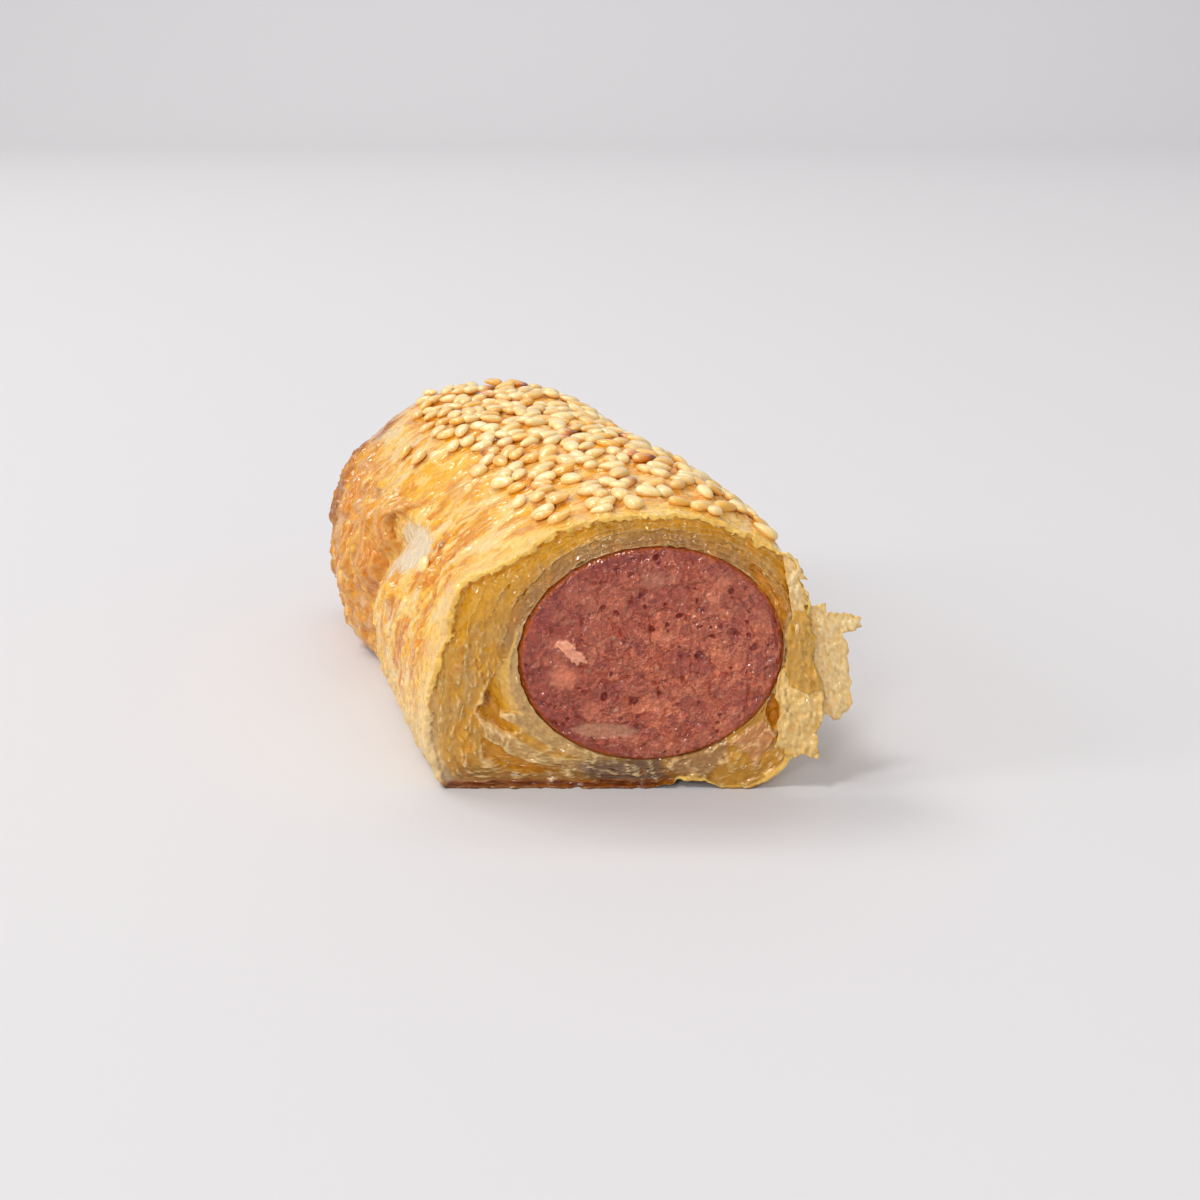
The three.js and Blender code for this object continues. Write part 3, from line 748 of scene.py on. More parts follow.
# The far turn's edge folds over the near one: (height, y) of the fold.
FOLD = [(14, 49), (19, 47.5), (23, 45.2), (25.5, 45.4), (28, 43), (29.8, 37), (31.5, 33)]


def oval_reach(a, b, turn, half_long, half_wide):
    """How far out points lie in a turned oval, 1 on its edge."""
    c, s = math.cos(turn), math.sin(turn)
    return np.hypot((a * c + b * s) / half_long, (b * c - a * s) / half_wide)


def crust_texture(y, z, at):
    """Relief and colour of the baked film and its patches, and the widest patches themselves."""
    top, far, end = smooth(27, 33, z), smooth(38, 54, y), smooth(74, 90, y)
    flank = 1 - top
    near_lip = smooth(mix(10.0, 6.0, top), 1.5, y + 1.8 * layered_noise(at, 3, 2, 91))
    small = puckers(at, (1.5, 0.6, 1.5), 101)
    middle = puckers(at, (4.2, 1.6, 4.2), 111)
    large = puckers(at, (7.0, 3.4, 7.0), 121)
    broad, broad_edge, broad_tint = scales(at, (5.5, 2.8, 5.5), 3.0, 301)
    fine, fine_edge, fine_tint = scales(at, (2.8, 1.4, 2.8), 2.0, 331)
    patches = layered_noise(at, (8, 4.0, 8), 3, 131)
    spots = layered_noise(at, (5.0, 2.6, 5.0), 2, 135)
    calm = mix(1.0, 0.55, top) * mix(1.0, 0.6, near_lip)
    height = calm * (0.09 * small + 0.5 * broad + 0.15 * fine)
    height = height + calm * flank * (mix(0.18, 0.5, far) * middle + mix(0.2, 0.8, far) * large)
    height = height + 0.03 * layered_noise(at, 0.7, 2, 141) - 0.3

    own = 0.8 * broad_tint + 0.3 * fine_tint - 1.1 * patches
    toasted = smooth(0.5, 1.1, middle + 0.7 * spots + 0.3 * large)
    doughy = smooth(0.15, 0.5, 0.4 * noise(at, (2.4, 3.2, 2.4), 137) + patches)
    baked = 0.45 * large + 0.8 * patches + 0.6 * spots + 0.15 * middle
    return height, patches, paint(
        all_over(GOLD, at),
        (FILM, 0.85 * smooth(0.03, 0.45, own + 0.2 * top)),
        (PALE_DOUGH, 0.5 * smooth(0.35, 0.75, own)),
        (AMBER, smooth(0.08, 0.38, 0.8 * spots - own) * mix(1.0, 0.6, top)),
        # painted shade: deeper amber in the creases between the small puffs
        (AMBER, 0.3 * smooth(0.25, 0.0, small) * mix(0.3, 1.0, far) * flank),
        (FILM, mix(0.75, 0.2, far) * np.clip(broad_edge + 0.6 * fine_edge, 0, 1)),
        (TOAST, 0.55 * far * flank * toasted),
        (AMBER, 0.6 * far * flank * smooth(0.2, 0.7, middle - 0.6 * patches)),
        (YELLOW, 0.6 * far * flank * smooth(0.4, 0.0, middle - 0.5 * patches)),
        (PALE_DOUGH, 0.45 * far * flank * doughy),
        (LIP, 0.85 * near_lip * (1 - 0.3 * smooth(0.3, 0.9, small))),
        (AMBER, 0.35 * end),
        (TOAST, 0.7 * end * smooth(-0.2, 0.8, baked)),
        (BROWN, 0.75 * smooth(72, 84, y) * smooth(0.25, 0.9, baked)),
    )


def add_marks(bearing, y, at, height, tone):
    """Adds the marks on the crust, each with a ragged edge."""
    ragged = 0.35 * layered_noise(at, 1.6, 3, 161)
    for _, middle, mark_y, half_round, half_along, turn, rise, colour, cover in MARKS:
        a, b = CRUST_REACH * (bearing - math.radians(middle)), y - mark_y
        held = smooth(1.15, 0.75, oval_reach(a, b, math.radians(turn), half_round, half_along) + ragged)
        if rise < 0:
            height = mix(height, 0.35 * height, held)
        height = height + rise * held
        tone = paint(tone, (colour, held * cover))
    return height, tone


def add_fold(left, y, z, at, height, tone):
    """Adds the far turn's folded edge, toasted along its ridge, and its push towards the cut."""
    offset = y - along(FOLD, z) + 0.9 * layered_noise(at, 2.6, 3, 171)
    upper = left * smooth(13, 18, z)
    fold = upper * (1 - smooth(26.5, 30.5, z))
    raised = smooth(-0.3, 0.5, offset) * (1 - smooth(4, 12, offset))
    height = height + fold * (0.85 * raised - 0.5 * hump((offset + 1.4) / 1.2))
    tip = hump((offset - 0.2) / 0.4) * hump((z - 26.2) / 1.4) * fold
    tone = paint(
        tone,
        (LIP, 0.8 * fold * hump((offset + 1.3) / 1.4)),
        (AMBER, 0.95 * (upper * (1 - smooth(29.5, 31.5, z))) * hump((offset - 1.0) / 1.5)),
        (BROWN, 0.9 * tip),
    )
    return height, 1.2 * fold * hump((offset - 0.9) / 1.3), tone


def crust_detail(x, y, z, bearing):
    """Fine relief, push towards the cut, and colour of the crust, for points before the shear."""
    at = stack(x, y, z)
    left, near = smooth(2, -10, x), 1 - smooth(38, 54, y)
    past_furrow = y - along(LEFT_FURROW, z)
    height, patches, tone = crust_texture(y, z, at)
    tone = paint(
        tone,
        (YELLOW, 0.5 * (left * hump((past_furrow - 0.5) / 4.0) * smooth(14, 22, z))),
        (BROWN, 0.6 * smooth(0.7, 0.85, noise(at, 0.6, 191))),
    )
    height, tone = add_marks(bearing, y, at, height, tone)
    height, push, tone = add_fold(left, y, z, at, height, tone)
    return height, push, paint(
        tone,
        (PALE_DOUGH, 0.45 * (left * hump((past_furrow + 0.5) / 2.4) * smooth(20, 12, z))),
        (FILM, 0.6 * smooth(10, 5, z) * near),
        (PALE_DOUGH, 0.5 * smooth(13, 6, z) * near * smooth(-0.3, 0.5, patches)),
        (AMBER, 0.35 * smooth(2.2, 0.6, z + 0.8 * patches)),
        (BASE_BROWN, 0.9 * smooth(0.9, 0.1, z)),
    )


def seed_beds(bearings, ys, spots):
    """For every crust point, the distance to the nearest seed's outline, in millimetres."""
    nearest = np.full((len(ys), len(bearings)), 9.0)
    for bearing, y, length, turn, *_ in spots:
        rows = np.flatnonzero(np.abs(ys - y) < 0.8 * length)
        columns = np.flatnonzero(np.abs(bearings - bearing) * CRUST_REACH < 0.8 * length)
        if len(rows) and len(columns):
            a, b = CRUST_REACH * (bearings[columns][None, :] - bearing), ys[rows][:, None] - y
            reach = oval_reach(a, b, turn, 0.5, 0.5 * SEED_WIDTH) / length
            window = np.ix_(rows, columns)
            nearest[window] = np.minimum(nearest[window], (reach - 1) * 0.4 * length)
    return nearest


def lip_swell(bearing, y):
    """How far the crust's edge stands out: scalloped, and further over the left shoulder of the cut."""
    shoulder = 2.0 * hump((bearing + math.radians(66)) / math.radians(12)) * smooth(13, 1, y)
    scallops = 0.65 * layered_noise(stack(CRUST_REACH * bearing, 0, 0), 2.4, 3, 97) * smooth(2.5, 0.2, y)
    return shoulder + scallops * smooth(math.radians(115), math.radians(95), np.abs(bearing))


def lip_offset(across, up):
    """Torn edge of the crust at the cut, into the roll."""
    at = flat_points(across, up)
    torn = 0.55 * layered_noise(at, 3.4, 3, 81) + 0.32 * layered_noise(at, 0.9, 3, 83)
    bites = 0.7 * smooth(0.25, 0.5, noise(at, 2.0, 85))
    return torn + bites - 0.55


def shoulder_ring(bearings, turn):
    """One ring of the rounded baked end, rolled in to the window, and how much it faces sideways."""
    brow = 0.45
    start = ROLL_LENGTH - SHOULDER
    past = turn - math.pi / 2
    if past <= 0:
        out, y = brow + (1 - brow) * math.cos(turn), start + SHOULDER * math.sin(turn)
    else:
        out, y = brow * (1 - math.sin(past)), ROLL_LENGTH - RIM_DIP * (1 - math.cos(past))
    radius = mix(WINDOW_RADIUS, crust_radius(bearings, start), out)
    hub_x, hub_z = mix(SAUSAGE_AT_END[0], HUB_X, out), mix(SAUSAGE_AT_END[1], HUB_Z, out)
    x, z = hub_x + radius * np.sin(bearings), hub_z + radius * np.cos(bearings)
    return x, np.full(x.shape, y), z, max(math.cos(min(turn, math.pi / 2)), 0)


def flank_rows(bearings, spots):
    """Rings of the crust from the cut to the shoulder, and their colours."""
    far_ys = np.arange(FINE_STRETCH, ROLL_LENGTH - SHOULDER, FAR_ROW_STEP)
    ys = np.concatenate([np.arange(0, FINE_STRETCH, ROW_STEP), far_ys])
    y, b = np.meshgrid(ys, bearings, indexing="ij")
    x, z = from_hub(b, crust_radius(b, y))
    height, push, tone = crust_detail(x, y, z, b)
    off_seed = np.maximum(seed_beds(bearings, ys, spots), 0)
    height = height + lip_swell(b, y) + 0.28 * np.exp(-off_seed / 0.35)
    # Amber is painted round each seed's foot; amber in the small hollows is painted shade, and the paler film
    # on the ridges is a painted highlight.
    hollow = blurred(height, 6) - height
    tone = paint(
        tone,
        (AMBER, 0.55 * np.exp(-off_seed / 0.45)),
        (AMBER, 0.35 * smooth(0.03, 0.13, hollow)),
        (FILM, 0.38 * smooth(0.01, 0.1, -hollow) * (1 - 0.6 * smooth(42, 80, y))),
    )
    height = height * smooth(-0.2, 1.4, z)
    x, z = x + height * np.sin(b), np.maximum(z + height * np.cos(b), 0)
    across = x / math.cos(CUT_ANGLE)
    z = np.maximum(z, notch_height(across, y))
    lip = lip_offset(across, z) * smooth(2.4, 0, y)
    return list(place(x, y - push, z) + lip[..., None] * INWARDS), list(tone)


def end_rows(bearings):
    """Rings over the shoulder and in to the window, and their colours."""
    over = np.linspace(0.03, math.pi / 2, END_ROWS)
    rolled_in = np.linspace(math.pi / 2, math.pi - 0.35, WINDOW_ROWS + 1)[1:]
    rows, tones = [], []
    for turn in np.concatenate([over, rolled_in]):
        x, y, z, sideways = shoulder_ring(bearings, turn)
        height, _, tone = crust_detail(x, y, z, bearings)
        height = height * smooth(-0.2, 1.4, z)
        x = x + height * sideways * np.sin(bearings)
        z = np.maximum(z + height * sideways * np.cos(bearings), 0)
        rows.append(place(x, y + height * (1 - sideways) * 0.8, z))
        tones.append(tone)
    return rows, tones


def bore_rows(bearings):
    """The inside, against the sausage, from the baked end to the cut."""
    rows = []
    for y, clearance in BORE_RINGS:
        x, z = sausage_polar(bearings, y, clearance)
        rows.append(place(x, y, z))
    return rows, [all_over(INNER, row) for row in rows]


def face_rows(bearings):
    """The cut face, from the sausage out to the crust's edge."""
    share = np.linspace(0, 1, FACE_ROWS, endpoint=False)[:, None]
    in_x, in_z = sausage_polar(bearings, 0)
    ragged = 0.02 + 0.3 * np.maximum(layered_noise(stack(in_x, in_z, 0), 1.8, 3, 95), 0)
    in_x, in_z = sausage_polar(bearings, 0, ragged)
    out_x, out_z = from_hub(bearings, crust_radius(bearings, 0) - 0.25 + lip_swell(bearings, 0))
    out_across, out_z = out_x / math.cos(CUT_ANGLE), np.maximum(out_z, 0)
    out_z = np.maximum(out_z, notch_height(out_across, 0))
    wall = np.hypot(out_x - in_x, out_z - in_z)
    x, z = mix(in_x, out_x, share), mix(in_z, out_z, share)
    across = x / math.cos(CUT_ANGLE)
    depth, tone = face_relief(across, z, share, wall, CRUST_REACH * bearings)
    flat = flat_points(across, z)
    rim = 0.6 + 0.9 * layered_noise(flat, 2.3, 3, 87) + 0.5 * layered_noise(flat, 0.8, 3, 89)
    rim = rim * mix(1.0, 0.2, smooth(21, 24, across) * smooth(2, 6, z))
    off_crust = (1 - share) * wall
    at_lip = smooth(0.16, -0.02, off_crust - np.maximum(rim, 0.12) * smooth(0.3, 2.5, z))
    lip = np.minimum(lip_offset(out_across, out_z), depth - 0.1)
    depth = mix(depth, lip, at_lip) * smooth(-0.02, 0.05, share)
    low_left = smooth(16, 8, z) * smooth(-14, -19, across)
    scorched = smooth(1.25, 0.6, z + 0.5 * layered_noise(flat, 1.4, 2, 71)) * smooth(15, 10, across)
    caramel = smooth(-0.3, 0.3, layered_noise(flat, (1.6, 0.6, 1), 3, 73))
    tone = paint(
        tone,
        (LIP, 0.85 * at_lip),
        (PALE_DOUGH, 0.6 * low_left * smooth(2.2, 0.4, off_crust)),
        (AMBER, scorched),
        (BASE_BROWN, scorched * (0.75 + 0.25 * caramel)),
    )
    return list(place(x, 0, z) + depth[..., None] * INWARDS), list(tone)


def pastry_piece(material, spots):
    seen = np.linspace(-UNDERSIDE_FROM, UNDERSIDE_FROM, COLUMNS_SEEN, endpoint=False)
    under = np.linspace(UNDERSIDE_FROM, 2 * math.pi - UNDERSIDE_FROM, COLUMNS_UNDER, endpoint=False)
    bearings = np.concatenate([seen, (under + math.pi) % (2 * math.pi) - math.pi])
    rows, tones, soft = [], [], []
    for (made, coloured), softness in (
        (flank_rows(bearings, spots), CRUST_SOFT), (end_rows(bearings), CRUST_SOFT),
        (bore_rows(bearings), FACE_SOFT), (face_rows(bearings), FACE_SOFT),
    ):
        rows += made
        tones += coloured
        soft += [softness] * len(made) * len(bearings)
    faces = grid_faces(len(rows), len(bearings), loop_rows=True).tolist()
    return make_piece("pastry_jacket", rows, faces, material, tones, soft, ["pastry"])


# ---------- seeds ----------

EXTRA_SEEDS = 95
EXTRA_RANDOM = 41
EXTRA_BAND = (-36, 54)
EXTRA_LENGTHS = (3.3, 2.7)
EXTRA_SPACING = 0.56
EXTRA_SPARSE_FRONT, EXTRA_THINNING = 0.8, 10
EXTRA_LIFT = 0.25
# How plump, bent and lifted single seeds are, and how bright.
SEED_PLUMP, SEED_BEND, SEED_RISE, SEED_SHADE = (1.12, 1.34), (-0.12, 0.12), (0.0, 0.16), (0.92, 1.04)
# Seeds with scorched tips, nearest to these (bearing in degrees, y), and stray seeds, each
# with its bearing, y, length, turn and tilt.
SCORCHED = [(-2, 71), (-29.5, 39.8), (10.5, 11), (26, 22.8), (31, 39), (20.5, 26.8)]
STRAY_SEEDS = [(-72.5, 20.2, 3.1, 1.35, 0.1), (-47, 50, 3.2, 0.5, 0.0), (-49, 57, 3.1, 0.8, 0.0)]


def apart(spot, bearing, y):
    """Distance over the crust from a seed's spot to another place."""
    return math.hypot(CRUST_REACH * (spot[0] - bearing), spot[1] - y)


def scattered(spots, count, random, band, lengths, spacing, sparse_front, thinning):
    """Adds spots spread over a band of the top, largest first, thinning out at its sides."""
    roll = dice(random)
    spots = list(spots)
    first = len(spots)
    tries = 0
    while len(spots) < first + count and tries < MOST_TRIES:
        tries += 1
        degrees = mix(*band, roll())
        y = mix(*SEED_STRETCH, roll())
        length = mix(*lengths, (len(spots) - first) / count)
        keep, turn, tilt = roll(), math.pi * 2 * roll(), 0.24 * (roll() - 0.5)
        front = mix(sparse_front, 1, float(smooth(4, 22, y + 0.2 * degrees)))
        wanted = front * float(smooth(0, thinning, min(degrees - band[0], band[1] - degrees)))
        bearing = math.radians(degrees)
        clear = all(apart(spot, bearing, y) > spacing * 0.5 * (spot[2] + length) for spot in spots)
        if keep < wanted and clear:
            spots.append((bearing, y, length, turn, tilt))
    return spots


def seed_spots():
    """The solids' own seeds first, then smaller ones tucked between them, then a few strays."""
    spots = scattered(
        [], SEED_COUNT, SEED_RANDOM, SEED_BAND, SEED_LENGTHS, SEED_SPACING, SEED_SPARSE_FRONT, SEED_THINNING
    )
    spots = scattered(
        spots, EXTRA_SEEDS, EXTRA_RANDOM, EXTRA_BAND, EXTRA_LENGTHS, EXTRA_SPACING, EXTRA_SPARSE_FRONT,
        EXTRA_THINNING,
    )
    return spots + [(math.radians(degrees), *rest) for degrees, *rest in STRAY_SEEDS]


def crust_point(bearing, y):
    """A point of the crust, without its fine relief."""
    x, z = from_hub(bearing, crust_radius(np.array(bearing), y))
    return place(x, y, z)


def seed_form(rings=11, sides=14):
    """A plump teardrop of length 1 along x, pointed at its low end: points and faces."""
    turns = np.linspace(0, math.pi, rings + 2)[1:-1]
    at = -0.5 * np.cos(turns)
    girth = np.sin(turns) ** 0.82 * (1 + 0.52 * at)
    points = [
        (a, 0.5 * SEED_WIDTH * w * math.sin(s), 0.5 * SEED_THICKNESS * w * math.cos(s))
        for a, w in zip(at, girth) for s in circle(sides)
    ]
    points += [(-0.52, 0, 0), (0.5, 0, 0)]
    return np.array(points), [face[::-1] for face in capped_faces(rings, sides)]


def unit(vector):
    return vector / np.linalg.norm(vector)


def seed_axes(bearing, y, turn, tilt):
    """Where a seed lies: its middle, and its length, width and up directions."""
    middle = crust_point(bearing, y)
    ahead, aside = unit(crust_point(bearing, y + 0.5) - middle), unit(crust_point(bearing + 0.03, y) - middle)
    up = unit(np.cross(aside, ahead))
    length = unit(aside * math.cos(turn) + ahead * math.sin(turn) + up * tilt)
    width = unit(np.cross(up, length))
    return middle, length, width, np.cross(length, width)


def scorched_numbers(spots):
    """The seeds that lie nearest to the scorched places."""
    return {
        int(np.argmin([apart(spot, math.radians(degrees), y) for spot in spots])) for degrees, y in SCORCHED
    }


def seeds_piece(material, spots):
    """All the seeds as one mesh, each with its own tint and a few with scorched tips."""
    chance = np.random.default_rng(23)
    form, form_faces = seed_form()
    from_middle, rise = form[:, 0], form[:, 2]
    scorched = scorched_numbers(spots)
    points, faces, tones = [], [], []
    for number, (bearing, y, length, turn, tilt) in enumerate(spots):
        middle, *axes = seed_axes(bearing, y, turn, tilt)
        plump, bend, lift = (chance.uniform(*span) for span in (SEED_PLUMP, SEED_BEND, SEED_RISE))
        if number >= SEED_COUNT:
            lift += EXTRA_LIFT
        local = form * length * [1, plump, 1.2]
        local[:, 1] += bend * local[:, 0] ** 2 / length
        local += 0.05 * noise(local + 7.1 * number, 1.1, 7)[:, None] * form
        toasted = chance.uniform(0, 1) ** 1.5
        tone = mix(np.array(CREAM_SEED), np.array(GOLD_SEED), toasted) * chance.uniform(*SEED_SHADE)
        tone = paint(
            all_over(tone, local),
            (GOLD_SEED, 0.5 * smooth(-0.2, -0.5, from_middle)),
            # painted shade: gold on each seed's underside
            (GOLD_SEED, 0.5 * smooth(0.02, -0.14, rise)),
        )
        if chance.uniform() < 0.02 or number in scorched:
            tone = paint(
                tone, (AMBER, smooth(0.35, -0.1, from_middle)), (BURNT, smooth(0.0, -0.42, from_middle))
            )
        points.append(middle + local @ np.array(axes) + axes[2] * (SEED_LIFT + 0.08 + lift))
        faces += [[v + len(form) * number for v in face] for face in form_faces]
        tones.append(tone)
    return make_piece("sesame_seeds", points, faces, material, tones)


# ---------- loose flakes at the cut ----------

# Each flake: depth of its front, thickness, curl to the right of CURL_START, waves, how far
# it leans in above TUCK_HEIGHT, colour, and its outline.
FLAKES = [
    ("upright_flake", 0.7, 0.4, 0.16, 0.55, 0, FLAKE, [
        (24.2, 25.2), (26.6, 24.8), (28.7, 25.1), (29.0, 23.6), (29.6, 23.8), (32.0, 23.5),
        (33.7, 22.9), (33.3, 22.3), (33.7, 21.7), (31.1, 21.0), (32.2, 18.6), (31.9, 17.6),
        (32.4, 16.0), (32.3, 15.2), (32.7, 14.3), (32.5, 13.2), (32.9, 11.2), (32.4, 10.1),
        (31.6, 9.9), (31.3, 9.0), (30.5, 9.0), (29.9, 9.5), (29.1, 9.9), (28.8, 11.2), (27.5, 11.5),
        (24.5, 12.5)]),
    ("hanging_flap", -0.9, 0.45, 0.0, 0.5, 0.35, FLAP, [
        (22.5, 12.9), (22.9, 15.5), (24.0, 17.5), (26.0, 18.4), (27.6, 17.2), (28.4, 15.2),
        (28.8, 13.2), (28.6, 12.1), (28.9, 11.0), (28.6, 9.4), (28.0, 8.3), (28.3, 7.0), (28.1, 6.3),
        (28.4, 5.4), (28.3, 4.7), (27.3, 4.7), (26.6, 5.3), (25.4, 4.7), (24.3, 5.0), (23.5, 5.9),
        (22.7, 6.5), (23.1, 7.9), (22.8, 9.4), (23.3, 10.6), (23.2, 12.1)]),
    ("torn_edge", -0.2, 0.4, 0.2, 0.3, 0, FLAKE, [
        (22.9, 32.3), (23.6, 32.4), (24.9, 31.1), (25.6, 29.5), (26.2, 28.5), (25.0, 28.9),
        (25.2, 28.2), (26.3, 27.0), (26.7, 25.6), (25.8, 25.1), (26.7, 23.6), (27.3, 21.2), (26.2, 19),
        (25, 21), (24.2, 25)]),
    ("side_sheet", -0.5, 0.4, 0.05, 0.35, 0, SHEET, [
        (23.9, 22.5), (24.9, 24.6), (26.2, 24.3), (26.8, 23.0), (26.7, 22.0), (27.5, 21.0), (27.2, 18),
        (27.9, 16), (28.4, 14.2), (27, 13.4), (24.6, 14.4), (23.8, 16.6)]),
]
CURL_START, TUCK_HEIGHT = 25.0, 12.5
FLAKE_STEP = 0.24


def ragged_outline(outline, seed):
    """The outline with more points and a torn edge."""
    points = []
    for (ax, az), (bx, bz) in zip(outline, outline[1:] + outline[:1]):
        steps = max(int(math.hypot(bx - ax, bz - az) / FLAKE_STEP), 1)
        points += [(mix(ax, bx, k / steps), mix(az, bz, k / steps), 0) for k in range(steps)]
    at = np.array(points, float)
    push = 0.24 * np.stack([layered_noise(at, 1.0, 3, seed), layered_noise(at, 1.0, 3, seed + 5)], -1)
    return at[:, :2] + push


def sheet_mesh(outline):
    """Triangles that fill an outline, on a grid of points: the points and the triangles."""
    low, high = outline.min(0), outline.max(0)
    grid = np.meshgrid(np.arange(low[0], high[0], FLAKE_STEP), np.arange(low[1], high[1], FLAKE_STEP))
    inner = np.stack(grid, -1).reshape(-1, 2)
    inner = inner[edge_distance(inner[:, 0], inner[:, 1], outline) < -0.6 * FLAKE_STEP]
    flat = [Vector(p) for p in outline] + [Vector(p) for p in inner]
    loop = [(i, (i + 1) % len(outline)) for i in range(len(outline))]
    made, _, triangles, *_ = delaunay_2d_cdt(flat, loop, [], 1, 1e-4)
    return np.array([[v.x, v.y] for v in made]), [tuple(t) for t in triangles]


def flake_piece(flake, material, seed):
    """A thin crumpled sheet in front of the cut, its front and back joined round its edge."""
    name, start, thick, curl, wave, tuck, colour, rough_outline = flake
    outline = ragged_outline(rough_outline, seed)
    spots, triangles = sheet_mesh(outline)
    across, up = spots[:, 0], spots[:, 1]
    at = flat_points(across, up)
    from_edge = -edge_distance(across, up, outline)
    creases, wrinkles = puckers(at, (0.8, 2.6, 1), seed + 9), puckers(at, (0.7, 1.0, 1), seed + 15)
    depth = start + curl * np.maximum(across - CURL_START, 0)
    depth = depth + wave * layered_noise(at, (3, 6, 1), 2, seed + 7) + tuck * np.maximum(up - TUCK_HEIGHT, 0)
    depth = depth - 0.44 * creases - 0.22 * wrinkles
    depth = depth - 0.2 * layered_noise(at, 1.4, 2, seed + 11) - 0.15 * smooth(0.5, 0, from_edge)
    back = depth + thick * (0.4 + 0.6 * smooth(0, 1.2, from_edge))
    base = spots[:, :1] * ACROSS + spots[:, 1:] * UP
    count = len(spots)
    faces = triangles + [(c + count, b + count, a + count) for a, b, c in triangles]
    edges = {edge for a, b, c in triangles for edge in ((a, b), (b, c), (c, a))}
    faces += [(b, a, a + count, b + count) for a, b in sorted(edges) if (b, a) not in edges]
    tone = paint(
        all_over(colour, at),
        (GOLD, 0.25 * smooth(0.1, 0.7, layered_noise(at, 3.2, 3, seed + 13))),
        # painted shade: the gold deepens in the creases and wrinkles
        (GOLD, 0.4 * smooth(0.3, 0.02, creases)),
        (GOLD, 0.35 * smooth(0.25, 0.0, wrinkles)),
        (GOLD, 0.3 * smooth(0.6, 0.1, from_edge)),
    )
    points = [base + depth[:, None] * INWARDS, base + back[:, None] * INWARDS]
    soft = np.full(2 * count, FLAKE_SOFT)
    return make_piece(name, points, faces, material, [tone, tone], soft)


# ---------- sausage ----------

MEAT_COLUMNS = 520
MEAT_ROWS = 150
MEAT_BULGE = 0.5
RIM_ROUND = 0.5
CASING_RINGS = [1.2, 2, 3, 10, 22, 36, 50, 64, 74] + list(np.linspace(78.5, 91.3, 26))  # their y
CASING_FROM = 0.968  # share of the way out where the casing's ring starts

# Pits in the cut meat: across, up, size and depth. Each is sunk and painted dark as painted shade.
MEAT_PITS = [
    (-6.1, 8.6, 0.6, 0.8), (4.3, 12.2, 0.5, 0.7), (17.0, 21.4, 0.8, 0.6), (10.6, 18.6, 0.7, 0.5),
    (12.8, 18.4, 0.6, 0.6), (6.6, 21.9, 0.5, 0.6), (19.9, 19.6, 0.5, 0.5), (-2.6, 20.4, 0.45, 0.5),
    (4.9, 8.2, 0.7, 0.5), (2.1, 24.1, 0.45, 0.5), (0.4, 24.9, 0.4, 0.5), (16.6, 27.0, 0.45, 0.5),
    (13.0, 24.4, 0.5, 0.4), (5.4, 26.6, 0.5, 0.4),
]
PINK_CHUNK = [
    (-5.9, 19.8), (-5.2, 20.4), (-4.3, 20.5), (-3.2, 20.0), (-3.1, 19.3), (-2.3, 18.9), (-2.0, 18.4),
    (-1.8, 17.6), (-2.5, 17.7), (-3.1, 17.4), (-3.8, 18.0), (-4.4, 18.7), (-5.0, 19.3),
]
FAT_LENS = [(-3.8, 8.2), (-2.2, 8.9), (-0.5, 9.1), (3.2, 8.8), (5.0, 8.0), (3.3, 7.3), (-1.3, 7.0)]


